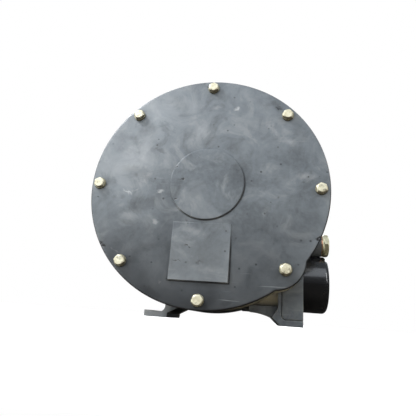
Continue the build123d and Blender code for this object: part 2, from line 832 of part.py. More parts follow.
for side, line in element_lines.items():
    with BuildPart() as piston:
        round_out(line, foot_start, foot_end, piston_foot_radius)
        round_out(line, foot_start, piston_tip, piston_radius)
    piston.part.label = side + "_piston"
    export_step(piston.part, "parts/" + piston.part.label + ".step")

    piston_spring = coil(line, foot_end, shoulder_start, spring_radius, spring_wire, spring_turns)
    piston_spring.part.label = side + "_piston_spring"
    export_step(piston_spring.part, "parts/" + piston_spring.part.label + ".step")

    with BuildPart() as element:
        round_out(line, nose_start, shoulder_start, nose_radius)
        round_out(line, shoulder_start, thread_start, barrel_radius)
        round_out(line, thread_start, element_face, thread_radius - seat_fit)
        hexagon_out(line, element_face, element_face + element_head, element_across_flats)
        round_out(line, nose_start, valve_seat, piston_radius + running_fit, mode=Mode.SUBTRACT)
        round_out(line, valve_seat, element_face + element_head, valve_bore, mode=Mode.SUBTRACT)
        inlet_middle = line.from_local_coords((0, 0, piston_tip - cam_gap - 2 * inlet_radius))
        inlet_line = Plane(origin=inlet_middle, z_dir=(0, 1, 0))
        round_out(inlet_line, -barrel_radius, barrel_radius, inlet_radius, mode=Mode.SUBTRACT)
    element.part.label = side + "_pump_element"
    export_step(element.part, "parts/" + element.part.label + ".step")

    with BuildPart() as seal:
        round_out(line, element_face - element_seal, element_face, seal_radius)
        round_out(line, element_face - element_seal, element_face, thread_radius, mode=Mode.SUBTRACT)
    seal.part.label = side + "_element_seal"
    export_step(seal.part, "parts/" + seal.part.label + ".step")

    with BuildPart() as ball:
        with Locations(line.from_local_coords((0, 0, ball_seat))):
            Sphere(ball_radius)
    ball.part.label = side + "_check_ball"
    export_step(ball.part, "parts/" + ball.part.label + ".step")

    ball_end = ball_seat + ball_radius
    valve_spring = coil(line, ball_end, spigot_start, valve_spring_radius, valve_wire, valve_turns)
    valve_spring.part.label = side + "_check_spring"
    export_step(valve_spring.part, "parts/" + valve_spring.part.label + ".step")

    with BuildPart() as outlet:
        round_out(line, spigot_start, element_face + element_head, valve_bore - seat_fit)
        hexagon_out(line, element_face + element_head, outlet_end, outlet_across_flats)
        round_out(line, spigot_start, outlet_end, outlet_bore, mode=Mode.SUBTRACT)
        round_out(line, outlet_end - outlet_depth, outlet_end, outlet_thread, mode=Mode.SUBTRACT)
        mouth = line.from_local_coords((0, 0, outlet_end))
        chamfer(outlet.faces().sort_by_distance(mouth)[0].outer_wire().edges(), plug_edge)
    outlet.part.label = side + "_outlet_fitting"
    export_step(outlet.part, "parts/" + outlet.part.label + ".step")

# Worm shaft: one right-handed thread whose crest lies on top, under the middle of the wheel
worm_root = worm_radius - gear_module - tooth_floor
core_half = (worm_turns / 2 + 1) * tooth_pitch
thread_left_x = drum_x - worm_turns / 2 * tooth_pitch
with BuildPart() as worm_shaft:
    round_x(worm_bearing_x + cam_gap, drive_bearing_x + drive_bearing_width, worm_journal)
    round_x(worm_bearing_x + worm_bearing_width + cam_gap, drive_bearing_x, worm_neck)
    round_x(drum_x - core_half, drum_x + core_half, worm_root)
    round_x(drive_bearing_x, drive_bearing_x + drive_bearing_width, drive_journal)
    round_x(drive_bearing_x, coupling_middle_x - cam_gap, worm_journal)
    with BuildLine() as crest:
        Helix(
            tooth_pitch,
            worm_turns * tooth_pitch,
            worm_radius,
            center=(thread_left_x, 0, worm_z),
            direction=(1, 0, 0),
        )
    with BuildSketch(Plane(origin=crest.line @ 0, x_dir=(0, 0, 1), z_dir=crest.line % 0)):
        with BuildLine():
            Polyline(
                (-gear_module - tooth_floor - thread_overlap, -half_at_root),
                (gear_module, -half_at_tip),
                (gear_module, half_at_tip),
                (-gear_module - tooth_floor - thread_overlap, half_at_root),
                close=True,
            )
        make_face()
    sweep(path=crest.line, is_frenet=True)
worm_shaft.part.label = "worm_shaft"
export_step(worm_shaft.part, "parts/worm_shaft.step")


# A bearing on the worm's or the motor's axis
def shaft_ring(x_left, width, outer, inner):
    with BuildPart() as ring:
        round_x(x_left, x_left + width, outer)
        round_x(x_left, x_left + width, inner, mode=Mode.SUBTRACT)
    return ring


bell_end_x = motor_left_x + end_bell
spigot_end_x = bell_end_x + end_bell
can_floor_x = motor_right_x - motor_wall
cup_x = can_floor_x - motor_bearing_width - motor_wall
front_ball_x = spigot_end_x - motor_bearing_width
rings = {
    "worm_bearing": (worm_bearing_x, worm_bearing_width, worm_bearing_radius, worm_journal + running_fit),
    "drive_bearing": (drive_bearing_x, drive_bearing_width, drive_bearing_radius, drive_journal + running_fit),
    "bearing_retaining_ring": (
        drive_bearing_end_x,
        ring_width,
        drive_bearing_radius,
        drive_bearing_radius - bearing_race,
    ),
    "motor_front_bearing": (
        front_ball_x,
        motor_bearing_width,
        motor_bearing_radius,
        motor_shaft_radius + running_fit,
    ),
    "motor_rear_bearing": (cup_x, motor_bearing_width, motor_bearing_radius, motor_shaft_radius + running_fit),
}
for name, sizes in rings.items():
    ring = shaft_ring(*sizes)
    ring.part.label = name
    export_step(ring.part, "parts/" + name + ".step")

with BuildPart() as drive_coupling:
    round_x(coupling_x, coupling_x + coupling_length, coupling_radius)
    round_x(coupling_x, coupling_middle_x, worm_journal, mode=Mode.SUBTRACT)
    round_x(coupling_middle_x, coupling_x + coupling_length, motor_shaft_radius, mode=Mode.SUBTRACT)
    for x in (coupling_x + coupling_length / 4, coupling_x + coupling_length * 3 / 4):
        with BuildSketch(Plane.XY.offset(worm_z)) as tap:
            with Locations((x, 0)):
                Circle(motor_screw_radius - cam_gap)
        extrude(tap.sketch, amount=coupling_radius, mode=Mode.SUBTRACT)
drive_coupling.part.label = "drive_coupling"
export_step(drive_coupling.part, "parts/drive_coupling.step")

# Motor: shaft, slotted rotor core, end windings, commutator and brushes inside a drawn can
with BuildPart() as motor_shaft:
    round_x(coupling_middle_x, cup_x + motor_bearing_width, motor_shaft_radius)
motor_shaft.part.label = "motor_shaft"
export_step(motor_shaft.part, "parts/motor_shaft.step")

with BuildPart() as rotor_core:
    with BuildSketch(side_plane(core_left_x)):
        with Locations((0, worm_z)):
            Circle(rotor_radius)
            Circle(motor_shaft_radius, mode=Mode.SUBTRACT)
            with PolarLocations(rotor_radius, rotor_slots):
                Rectangle(2 * rotor_slot_depth, rotor_slot_width, mode=Mode.SUBTRACT)
    extrude(amount=core_length)
rotor_core.part.label = "rotor_core"
export_step(rotor_core.part, "parts/rotor_core.step")

with BuildPart() as rotor_windings:
    with BuildSketch(side_plane(core_left_x - winding_length)):
        with Locations((0, worm_z)):
            Circle(winding_radius)
            Circle(commutator_radius, mode=Mode.SUBTRACT)
    extrude(amount=winding_length)
    with BuildSketch(side_plane(core_left_x + core_length)):
        with Locations((0, worm_z)):
            Circle(winding_radius)
            Circle(commutator_radius, mode=Mode.SUBTRACT)
    extrude(amount=winding_length)
    with BuildSketch(side_plane(core_left_x)):
        with Locations((0, worm_z)):
            with PolarLocations(rotor_radius - rotor_slot_depth / 2, rotor_slots):
                Rectangle(rotor_slot_depth - winding_gap, rotor_slot_width - bolt_play)
    extrude(amount=core_length)
rotor_windings.part.label = "rotor_windings"
export_step(rotor_windings.part, "parts/rotor_windings.step")

commutator_x = core_left_x - winding_length - commutator_length - winding_gap
commutator = shaft_ring(commutator_x, commutator_length, commutator_radius, motor_shaft_radius)
commutator.part.label = "commutator"
export_step(commutator.part, "parts/commutator.step")

with BuildPart() as motor_can:
    round_x(bell_end_x, motor_right_x, motor_radius)
    fillet(motor_can.faces().sort_by(Axis.X)[-1].edges(), motor_edge)
    round_x(bell_end_x, can_floor_x, motor_radius - motor_wall, mode=Mode.SUBTRACT)
    round_x(cup_x, can_floor_x, motor_cup_radius)
    round_x(cup_x, cup_x + motor_bearing_width, motor_bearing_radius + seat_fit, mode=Mode.SUBTRACT)
motor_can.part.label = "motor_can"
export_step(motor_can.part, "parts/motor_can.step")

bell_radius = motor_radius - motor_wall - seat_fit
lead_x = socket_x - 2 * lead_radius
with BuildPart() as motor_end_bell:
    round_x(motor_left_x, bell_end_x, motor_radius)
    round_x(bell_end_x, spigot_end_x, bell_radius)
    round_x(motor_left_x, spigot_end_x, motor_cup_radius / 2, mode=Mode.SUBTRACT)
    round_x(front_ball_x, spigot_end_x, motor_bearing_radius + seat_fit, mode=Mode.SUBTRACT)
    for y in (-motor_screw_circle, motor_screw_circle):
        round_x(motor_left_x, spigot_end_x, motor_screw_radius, y=y, mode=Mode.SUBTRACT)
    lead_start_y = motor_screw_circle + motor_screw_radius + cover_edge
    lead_hole = lead_spread + 2 * lead_radius
    round_y(lead_start_y, motor_radius, lead_hole, x=lead_x, z=worm_z, mode=Mode.SUBTRACT)
motor_end_bell.part.label = "motor_end_bell"
export_step(motor_end_bell.part, "parts/motor_end_bell.step")

with BuildPart() as motor_screws:
    seat_x = motor_left_x - screw_seat
    for y in (-motor_screw_circle, motor_screw_circle):
        round_x(seat_x - screw_head_height, seat_x, motor_screw_head - cam_gap, y=y)
        round_x(seat_x, spigot_end_x, motor_screw_radius - seat_fit, y=y)
motor_screws.part.label = "motor_screws"
export_step(motor_screws.part, "parts/motor_screws.step")

with BuildPart() as motor_magnets:
    magnet_outer = motor_radius - motor_wall - seat_fit
    with BuildSketch(side_plane(core_left_x - bolt_radius)):
        with Locations((0, worm_z)):
            Circle(magnet_outer)
            Circle(magnet_outer - magnet_thickness, mode=Mode.SUBTRACT)
            Rectangle(2 * magnet_outer, 2 * magnet_outer * cos(radians(magnet_arc / 2)), mode=Mode.SUBTRACT)
    extrude(amount=core_length + 2 * bolt_radius)
motor_magnets.part.label = "motor_magnets"
export_step(motor_magnets.part, "parts/motor_magnets.step")

brush_x = commutator_x + commutator_length / 2
with BuildPart() as motor_brushes:
    for turn in (1, -1):
        with Locations((brush_x, turn * (commutator_radius + seat_fit + brush_length / 2), worm_z)):
            Box(brush_width, brush_length, brush_width)
motor_brushes.part.label = "motor_brushes"
export_step(motor_brushes.part, "parts/motor_brushes.step")

with BuildPart() as brush_plate:
    round_x(spigot_end_x, spigot_end_x + brush_plate_thickness, bell_radius)
    holder_right_x = brush_x + brush_width / 2 + brush_wall
    holder_length = holder_right_x - spigot_end_x
    for turn in (1, -1):
        holder_y = turn * (commutator_radius + brush_length / 2 + brush_wall)
        with Locations((spigot_end_x + holder_length / 2, holder_y, worm_z)):
            Box(holder_length, brush_length - 2 * brush_wall, brush_width + 2 * brush_wall)
    round_x(spigot_end_x, holder_right_x, commutator_radius + brush_wall, mode=Mode.SUBTRACT)
    with Locations((brush_x, 0, worm_z)):
        Box(
            brush_width + 2 * seat_fit,
            2 * (commutator_radius + brush_length + brush_wall),
            brush_width + 2 * seat_fit,
            mode=Mode.SUBTRACT,
        )
brush_plate.part.label = "brush_plate"
export_step(brush_plate.part, "parts/brush_plate.step")

# Rear bearing cap and its screws
with BuildPart() as rear_bearing_cap:
    round_y(rear_hub_back_y, rear_hub_back_y + cap_thickness, rear_hub_radius)
    chamfer(rear_bearing_cap.faces().sort_by(Axis.Y)[-1].edges(), cover_edge)
    spigot_y = rear_bearing_back_y + seat_fit
    round_y(spigot_y, rear_hub_back_y, rear_bearing_radius)
    round_y(spigot_y, rear_hub_back_y, rear_bearing_radius - bearing_race, mode=Mode.SUBTRACT)
    with BuildSketch(front_plane(rear_hub_back_y + cap_thickness)):
        with Locations((drum_x, shaft_z)):
            with PolarLocations(cap_screw_circle, cap_screw_count, start_angle=45):
                Circle(cap_screw_radius + bolt_play)
    extrude(amount=cap_thickness, mode=Mode.SUBTRACT)
rear_bearing_cap.part.label = "rear_bearing_cap"
export_step(rear_bearing_cap.part, "parts/rear_bearing_cap.step")

with BuildPart() as rear_cap_screws:
    head_y = rear_hub_back_y + cap_thickness
    for angle in (45, 135, 225, 315):
        x = drum_x + cap_screw_circle * cos(radians(angle))
        z = shaft_z + cap_screw_circle * sin(radians(angle))
        round_y(head_y, head_y + screw_head_height, motor_screw_head, x=x, z=z)
        round_y(head_y - motor_screw_length, head_y, cap_screw_radius - seat_fit, x=x, z=z)
        with BuildSketch(front_plane(head_y + screw_head_height)):
            with Locations((x, z)):
                RegularPolygon(cap_screw_radius, 6)
        extrude(amount=screw_head_height / 2, mode=Mode.SUBTRACT)
rear_cap_screws.part.label = "rear_cap_screws"
export_step(rear_cap_screws.part, "parts/rear_cap_screws.step")

# Filling nipple, vent plug and power socket on the back
boss_end_y = drum_back_y + rib_height
nipple_line = Plane(origin=(nipple_x, boss_end_y, nipple_z), x_dir=(1, 0, 0), z_dir=(0, 1, 0))
vent_line = Plane(origin=(vent_x, boss_end_y, vent_z), x_dir=(1, 0, 0), z_dir=(0, 1, 0))
socket_line = Plane(origin=(socket_x, drum_back_y, worm_z), x_dir=(1, 0, 0), z_dir=(0, 1, 0))

with BuildPart() as fill_nipple:
    round_out(nipple_line, -back_wall, 0, small_thread - seat_fit)
    hexagon_out(nipple_line, 0, nipple_hex, nipple_across_flats)
    round_out(nipple_line, nipple_hex, nipple_hex + nipple_neck, nipple_neck_radius)
    with Locations(nipple_line.from_local_coords((0, 0, nipple_hex + nipple_neck))):
        Sphere(nipple_ball)
fill_nipple.part.label = "fill_nipple"
export_step(fill_nipple.part, "parts/fill_nipple.step")

with BuildPart() as vent_plug:
    round_out(vent_line, -back_wall, 0, small_thread - seat_fit)
    hexagon_out(vent_line, 0, vent_hex, vent_across_flats)
    round_out(vent_line, vent_hex, vent_hex + vent_cap, vent_cap_radius)
    chamfer(vent_plug.faces().sort_by(Axis.Y)[-1].edges(), cover_edge)
vent_plug.part.label = "vent_plug"
export_step(vent_plug.part, "parts/vent_plug.step")

with BuildPart() as power_socket:
    round_out(socket_line, 0, socket_flange, socket_radius)
    round_out(socket_line, socket_flange, socket_length, socket_shell)
    round_out(socket_line, socket_flange, socket_length, socket_shell - socket_wall, mode=Mode.SUBTRACT)
    round_out(socket_line, -back_wall, 0, wire_hole_radius - seat_fit)
power_socket.part.label = "power_socket"
export_step(power_socket.part, "parts/power_socket.step")

with BuildPart() as socket_pins:
    with BuildSketch(socket_line.offset(socket_flange)):
        with PolarLocations(pin_circle, pin_count):
            Circle(pin_radius)
    extrude(amount=pin_length)
socket_pins.part.label = "socket_pins"
export_step(socket_pins.part, "parts/socket_pins.step")

# Two leads from the motor's end bell to the socket
with BuildPart() as motor_leads:
    lead_end_y = drum_back_y - back_wall
    for offset_z in (-lead_spread, lead_spread):
        round_y(lead_start_y, lead_end_y, lead_radius, x=lead_x, z=worm_z + offset_z)
motor_leads.part.label = "motor_leads"
export_step(motor_leads.part, "parts/motor_leads.step")
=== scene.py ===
import bpy
import bmesh
import json
from math import atan2, cos, pi, radians, sin, sqrt, tan
from mathutils import Matrix, Vector


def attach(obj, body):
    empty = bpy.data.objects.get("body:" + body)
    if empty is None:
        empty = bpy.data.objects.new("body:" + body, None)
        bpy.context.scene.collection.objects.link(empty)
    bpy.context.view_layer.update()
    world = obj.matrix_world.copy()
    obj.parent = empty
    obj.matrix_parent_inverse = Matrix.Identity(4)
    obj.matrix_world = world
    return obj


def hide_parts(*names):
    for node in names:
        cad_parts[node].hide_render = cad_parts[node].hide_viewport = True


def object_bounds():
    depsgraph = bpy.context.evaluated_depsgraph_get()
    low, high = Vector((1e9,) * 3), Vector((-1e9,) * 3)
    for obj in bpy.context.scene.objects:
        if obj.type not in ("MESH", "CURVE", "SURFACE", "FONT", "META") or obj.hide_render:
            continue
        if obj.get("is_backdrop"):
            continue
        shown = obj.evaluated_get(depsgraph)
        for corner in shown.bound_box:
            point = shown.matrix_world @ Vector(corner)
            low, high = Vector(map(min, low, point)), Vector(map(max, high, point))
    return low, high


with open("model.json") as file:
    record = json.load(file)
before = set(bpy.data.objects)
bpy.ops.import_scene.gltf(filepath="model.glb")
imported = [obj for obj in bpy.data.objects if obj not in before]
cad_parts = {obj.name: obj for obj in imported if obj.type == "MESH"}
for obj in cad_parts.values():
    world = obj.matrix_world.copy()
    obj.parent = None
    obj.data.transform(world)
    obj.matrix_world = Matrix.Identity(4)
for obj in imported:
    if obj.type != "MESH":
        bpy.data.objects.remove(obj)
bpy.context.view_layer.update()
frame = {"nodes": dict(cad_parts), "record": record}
print("frame loaded:", len(frame["nodes"]), "nodes")

mm = 0.001
scene = bpy.context.scene


def addObject(name, data):
    thing = bpy.data.objects.new(name, data)
    scene.collection.objects.link(thing)
    return thing


def meshFrom(name, bm):
    mesh = bpy.data.meshes.new(name)
    bm.to_mesh(mesh)
    bm.free()
    return mesh


# Node helpers. An input takes either a plain value or the socket that feeds it.
def fillInputs(tree, node, inputs):
    for key, value in inputs.items():
        if isinstance(value, bpy.types.NodeSocket):
            tree.links.new(value, node.inputs[key])
        else:
            node.inputs[key].default_value = value


def addNode(tree, kind, inputs=None, **settings):
    node = tree.nodes.new(kind)
    for key, value in settings.items():
        setattr(node, key, value)
    fillInputs(tree, node, inputs or {})
    return node


def noiseOf(tree, coords, scale, detail=4.0, rough=0.5, distort=0.0):
    inputs = {"Vector": coords, "Scale": scale, "Detail": detail, "Roughness": rough, "Distortion": distort}
    return addNode(tree, "ShaderNodeTexNoise", inputs).outputs["Fac"]


# 0 to 1 (or toLow to toHigh) while the value goes from low to high, which may also run downwards
def spread(tree, value, low, high, toLow=0.0, toHigh=1.0):
    inputs = {"Value": value, "From Min": low, "From Max": high, "To Min": toLow, "To Max": toHigh}
    return addNode(tree, "ShaderNodeMapRange", inputs).outputs["Result"]


def maths(tree, operation, *values):
    return addNode(tree, "ShaderNodeMath", dict(enumerate(values)), operation=operation).outputs[0]


def times(tree, first, second):
    return maths(tree, "MULTIPLY", first, second)


def plus(tree, first, second):
    return maths(tree, "ADD", first, second)


def mixColour(tree, amount, first, second):
    return addNode(tree, "ShaderNodeMix", {0: amount, 6: first, 7: second}, data_type="RGBA").outputs[2]


def bumpOf(tree, height, strength, distance, below=None):
    inputs = {"Height": height, "Strength": strength, "Distance": distance}
    if below is not None:
        inputs["Normal"] = below
    return addNode(tree, "ShaderNodeBump", inputs).outputs["Normal"]


def normalOf(tree):
    return addNode(tree, "ShaderNodeNewGeometry").outputs["Normal"]


def splitVector(tree, vector):
    return addNode(tree, "ShaderNodeSeparateXYZ", {"Vector": vector}).outputs


def clearTree(owner):
    owner.use_nodes = True
    owner.node_tree.nodes.clear()
    return owner.node_tree


def newMaterial(name):
    material = bpy.data.materials.new(name)
    tree = clearTree(material)
    shader = addNode(tree, "ShaderNodeBsdfPrincipled")
    addNode(tree, "ShaderNodeOutputMaterial", {"Surface": shader.outputs["BSDF"]})
    coords = addNode(tree, "ShaderNodeTexCoord").outputs["Object"]
    return material, tree, shader, coords


# Paint of the castings. A noise has scale, detail, roughness and distortion. A layer has its noise, the
# two values it is spread between, how much of it there is, and its colour. A bump has strength and mm.
castPaint = {
    "base": (0.060, 0.068, 0.078, 1),
    "pale": (0.112, 0.126, 0.140, 1),
    "dark": (0.036, 0.040, 0.045, 1),
    "dust": (0.160, 0.170, 0.176, 1),
    # near-black for flecks and nicks, and for painted shade on the cover's sides, steps and the lines beside
    # pad and boss
    "speckAndShade": (0.010, 0.010, 0.011, 1),
    "bare": (0.34, 0.34, 0.33, 1),
    # the rub colour is that of rubbed paint, and is also used as painted light on the plain side's foot
    "rubAndLit": (0.34, 0.35, 0.36, 1),
    # painted shade that darkens the cover towards the bottom
    "lowShade": (0.022, 0.024, 0.027, 1),
    # painted light: olive, as the floor's bounce would light the drum's underside
    "bounceLight": (0.235, 0.218, 0.168, 1),
    "roughness": (0.36, 0.52),
    "edge": 1.1 * mm,
    "noises": {"wide": (9.0, 3.0, 0.5, 0.3), "blotch": (17.0, 5.0, 0.6, 1.1), "cloud": (34.0, 8.0, 0.64, 0.7),
               "grain": (240.0, 5.0, 0.6), "lumps": (70.0, 4.0, 0.55), "fleckPatches": (21.0, 2.0),
               "streakPatches": (13.0, 2.0)},
    "layers": (("wide", 0.36, 0.66, 0.90, "pale"), ("blotch", 0.49, 0.37, 0.45, "dark"),
               ("blotch", 0.53, 0.68, 0.40, "dust"), ("cloud", 0.49, 0.33, 0.75, "dark"),
               ("cloud", 0.53, 0.66, 0.55, "dust"), ("grain", 0.35, 0.65, 0.25, "pale")),
    "flecks": {"scale": 95.0, "size": (0.14, 0.06), "patches": (0.48, 0.57), "amount": 0.75},
    "streaks": {"stretch": (9.0, 9.0, 190.0), "downhill": 34, "noise": (2.4, 3.0, 0.5), "lines": (0.66, 0.71),
                "patches": (0.52, 0.62), "amount": 0.5},
    "wear": {"bend": (0.985, 0.86), "patches": (0.47, 0.60), "amount": 0.6},
    "bumps": {"lumps": (0.18, 0.6), "flecks": (0.5, 0.3), "nicks": (0.8, 0.5), "grain": (0.22, 0.12)},
}
coverPaint = dict(
    castPaint, edge=0.5 * mm, base=(0.077, 0.089, 0.102, 1), pale=(0.150, 0.168, 0.186, 1),
    dark=(0.046, 0.052, 0.058, 1), dust=(0.205, 0.218, 0.228, 1))

# The cover's shape in mm. Its paint needs it too, for the painted shadow lines beside the pad and the boss.
coverPlate = {
    "front": -60.0, "back": -54.0, "edge": 1.6, "backEdge": 0.3, "rim": 1.2,
    "rounding": ((0.08, 0.62), (0.30, 0.29), (0.62, 0.08)),
    "bossX": -20.0, "bossZ": 136.2, "bossRadius": 38.8, "bossHeight": 1.2, "bossEdge": 0.45, "bossRim": 1.0,
    "bossSunk": 0.6,
    "padX": -21.6, "padZ": 64.7, "padWidth": 59.3, "padHeight": 58.3, "padStep": 2.0, "padTop": 0.3,
    "padEdge": 0.4, "padSunk": 0.5, "padRings": (0.6, 1.2, 2.4, 4.8),
}

# Rubs and nicks on the cover: (x, z, half length, half width) in mm, turn in degrees, and how strong
rubs = (
    (-67.7, 126.4, 4.5, 2.4, 20, 0.7), (-103.5, 124.2, 7.0, 1.4, -30, 0.8), (-95.0, 127.5, 4.5, 1.6, 25, 0.5),
    (-59.8, 32.6, 2.2, 2.0, 0, 0.8), (-70.4, 92.7, 3.4, 2.8, 0, 0.6), (7.0, 223.2, 4.6, 2.8, 35, 0.8),
    (-15.0, 224.5, 7.0, 3.0, 10, 0.5), (82.4, 145.6, 13.0, 6.5, -8, 0.45), (-108.8, 61.7, 6.5, 1.1, -15, 0.7),
    (40.7, 106.4, 4.0, 6.5, -20, 0.4), (47.0, 198.0, 17.0, 4.5, -58, 0.35),
    (64.0, 184.0, 12.0, 5.0, -25, 0.3), (-85.0, 140.0, 5.0, 12.0, -30, 0.35),
    (-30.0, 190.0, 26.0, 15.0, 30, 0.30), (-98.0, 172.0, 20.0, 30.0, -35, 0.25),
    (-98.0, 97.0, 15.0, 11.0, 20, 0.35), (-26.0, 84.0, 15.0, 6.0, -12, 0.35), (-12.0, 48.0, 22.0, 4.0, -4, 0.3),
)
nicks = (
    (-46.5, 139.2, 4.4, 1.0, 24, 1.0), (-36.0, 70.4, 2.4, 1.5, 30, 0.8), (-32.5, 68.4, 1.6, 1.2, 0, 0.7),
    (-122.3, 66.4, 4.2, 2.0, -38, 1.0), (92.4, 83.6, 3.6, 1.7, 48, 1.0), (82.4, 145.6, 1.7, 1.5, 0, 0.9),
    (-53.0, 153.0, 2.0, 1.6, 0, 0.7), (-51.0, 117.0, 1.8, 1.4, 40, 0.7), (-135.0, 118.0, 1.7, 1.3, 0, 0.8),
    (-73.0, 172.0, 10.0, 3.0, -30, 0.30), (52.0, 224.0, 5.0, 2.0, -40, 0.7),
    (-66.0, 22.0, 14.0, 5.0, -32, 0.35), (8.0, 17.0, 10.0, 4.0, 30, 0.30), (-22.0, 54.0, 5.0, 2.0, 10, 0.35),
    (-44.0, 54.5, 5.0, 0.9, -2, 0.5), (-86.0, 110.0, 22.0, 9.0, 18, 0.22),
    (-96.0, 148.0, 22.0, 8.0, -12, 0.20), (14.0, 150.0, 14.0, 22.0, 0, 0.16),
)
markDepth = 9.0  # in mm, to both sides of the cover's face


# One number over the surface: 1 in the middle of a mark, 0 outside all of them
def marksOf(tree, coords, marks, low, high):
    total = None
    for x, z, length, width, turn, strength in marks:
        place = addNode(tree, "ShaderNodeMapping",
                        {"Vector": coords, "Location": (x * mm, coverPlate["front"] * mm, z * mm),
                         "Rotation": (0, radians(-turn), 0),
                         "Scale": (length * mm, markDepth * mm, width * mm)}, vector_type="TEXTURE")
        spot = addNode(tree, "ShaderNodeTexGradient", {"Vector": place.outputs["Vector"]},
                       gradient_type="SPHERICAL")
        spot = spread(tree, spot.outputs["Fac"], low, high, 0.0, strength)
        total = spot if total is None else maths(tree, "MAXIMUM", total, spot)
    return total


# Measures in mm for the painted shadow lines: where a line fades out, where it starts, and how far it takes to
# come in along a side
shadowLine = {"outside": (1.9, 0.9), "inside": (-0.25, 0.05), "padReach": 14.0, "bossReach": 30.0, "rightward": 0.6,
        "amount": 0.97}


# Painted shadow: thin dark lines against the lower and right sides of the cover's pad and round boss
def paintShadowLines(tree, place):
    def awayFrom(socket, middle):
        return maths(tree, "SUBTRACT", place[socket], middle * mm)

    def beyond(distance, half):
        return plus(tree, maths(tree, "ABSOLUTE", distance), -half * mm)

    def lineAt(distance, across, up, reach):
        line = times(tree, spread(tree, distance, *(step * mm for step in shadowLine["outside"])),
                     spread(tree, distance, *(step * mm for step in shadowLine["inside"])))
        side = plus(tree, times(tree, across, shadowLine["rightward"]), times(tree, up, -1.0))
        return times(tree, line, spread(tree, side, 0.0, reach * mm, 0.0, shadowLine["amount"]))

    p = coverPlate
    across, up = awayFrom("X", p["padX"]), awayFrom("Z", p["padZ"])
    padSide = maths(tree, "MAXIMUM", beyond(across, p["padWidth"] / 2), beyond(up, p["padHeight"] / 2))
    padLine = lineAt(padSide, across, up, shadowLine["padReach"])
    across, up = awayFrom("X", p["bossX"]), awayFrom("Z", p["bossZ"])
    radius = maths(tree, "POWER", plus(tree, times(tree, across, across), times(tree, up, up)), 0.5)
    bossLine = lineAt(plus(tree, radius, -p["bossRadius"] * mm), across, up, shadowLine["bossReach"])
    return maths(tree, "MAXIMUM", padLine, bossLine)


# Places in metres: a thin band of painted olive light, as from the floor's bounce, under the drum's front rim,
# and painted pale light on the plain side's foot
housingLight = {
    "bounceFacing": (-0.15, -0.6), "bounceY": (-0.018, -0.024), "bounceX": (0.002, 0.022), "bounceLight": 0.9,
    "litFootX": (-0.050, -0.060), "litFootZ": (0.050, 0.036), "pale": 0.75,
}


def paintHousingLight(tree, values, place, facing, colour):
    p = housingLight
    # painted light: olive on faces that look down under the drum's front rim
    bounceLit = times(tree, spread(tree, facing["Z"], *p["bounceFacing"]), spread(tree, place["Y"], *p["bounceY"]))
    bounceLit = times(tree, bounceLit, spread(tree, place["X"], *p["bounceX"]))
    colour = mixColour(tree, times(tree, bounceLit, p["bounceLight"]), colour, values["bounceLight"])
    # painted light: the plain side's foot is made paler in the rub colour
    pale = times(tree, spread(tree, place["X"], *p["litFootX"]), spread(tree, place["Z"], *p["litFootZ"]))
    return mixColour(tree, times(tree, pale, p["pale"]), colour, values["rubAndLit"])


# Places in metres: how far a mark's edge wanders, what breaks up the rubs, how high the painted shade reaches
# from the bottom, how much of it stays on the raised faces, and how steep a side or a step is where painted
# shade darkens it
coverWearAndShade = {
    "raggedScale": 260.0, "raggedDetail": 4.0, "wander": 0.008,
    "rubFade": (0.0, 0.8), "rubBreaks": (0.40, 0.56, 0.35, 1.0), "nickFade": (0.05, 0.55),
    "shadeRise": (0.3, 0.7, -0.02, 0.02), "shadeZ": (0.120, 0.012, 0.0, 0.98), "raisedY": (-0.0601, -0.0606),
    "raisedShade": 0.25, "handledZ": (0.098, 0.062, 0.0, 0.22),
    "sideFacing": (0.90, 0.55, 0.0, 0.95), "stepFacing": (0.985, 0.84), "stepDown": (0.10, -0.04),
}


def wearAndShadeCover(tree, values, coords, place, facing, noises, colour):
    p = coverWearAndShade
    # the marks' edges wander with a fine noise
    ragged = addNode(tree, "ShaderNodeTexNoise",
                     {"Vector": coords, "Scale": p["raggedScale"], "Detail": p["raggedDetail"]})
    wander = addNode(tree, "ShaderNodeVectorMath", {0: ragged.outputs["Color"], 1: (0.5, 0.5, 0.5)},
                     operation="SUBTRACT").outputs[0]
    shifted = addNode(tree, "ShaderNodeVectorMath", {0: wander, 1: (p["wander"], 0, p["wander"]), 2: coords},
                      operation="MULTIPLY_ADD").outputs[0]
    rubbedOff = times(tree, marksOf(tree, shifted, rubs, *p["rubFade"]),
                      spread(tree, noises["cloud"], *p["rubBreaks"]))
    colour = mixColour(tree, rubbedOff, colour, values["rubAndLit"])
    # painted shade darkens the cover towards the bottom, less on its raised faces, and the pad is dusty from
    # handling
    lower = plus(tree, place["Z"], spread(tree, noises["wide"], *p["shadeRise"]))
    raised = spread(tree, place["Y"], *p["raisedY"])
    lowShaded = times(tree, spread(tree, lower, *p["shadeZ"]),
                  spread(tree, raised, 0.0, 1.0, 1.0, p["raisedShade"]))
    colour = mixColour(tree, lowShaded, colour, values["lowShade"])
    handled = times(tree, raised, spread(tree, place["Z"], *p["handledZ"]))
    colour = mixColour(tree, handled, colour, values["dust"])
    # painted shade: the plate's sides are dark, and so are its steps that look down
    flat = maths(tree, "ABSOLUTE", facing["Y"])
    colour = mixColour(tree, spread(tree, flat, *p["sideFacing"]), colour, values["speckAndShade"])
    shaded = times(tree, spread(tree, flat, *p["stepFacing"]), spread(tree, facing["Z"], *p["stepDown"]))
    colour = mixColour(tree, shaded, colour, values["speckAndShade"])
    # painted shadow beside the pad and the boss, in the near-black colour
    colour = mixColour(tree, paintShadowLines(tree, place), colour, values["speckAndShade"])
    dent = marksOf(tree, shifted, nicks, *p["nickFade"])
    return mixColour(tree, dent, colour, values["speckAndShade"]), dent


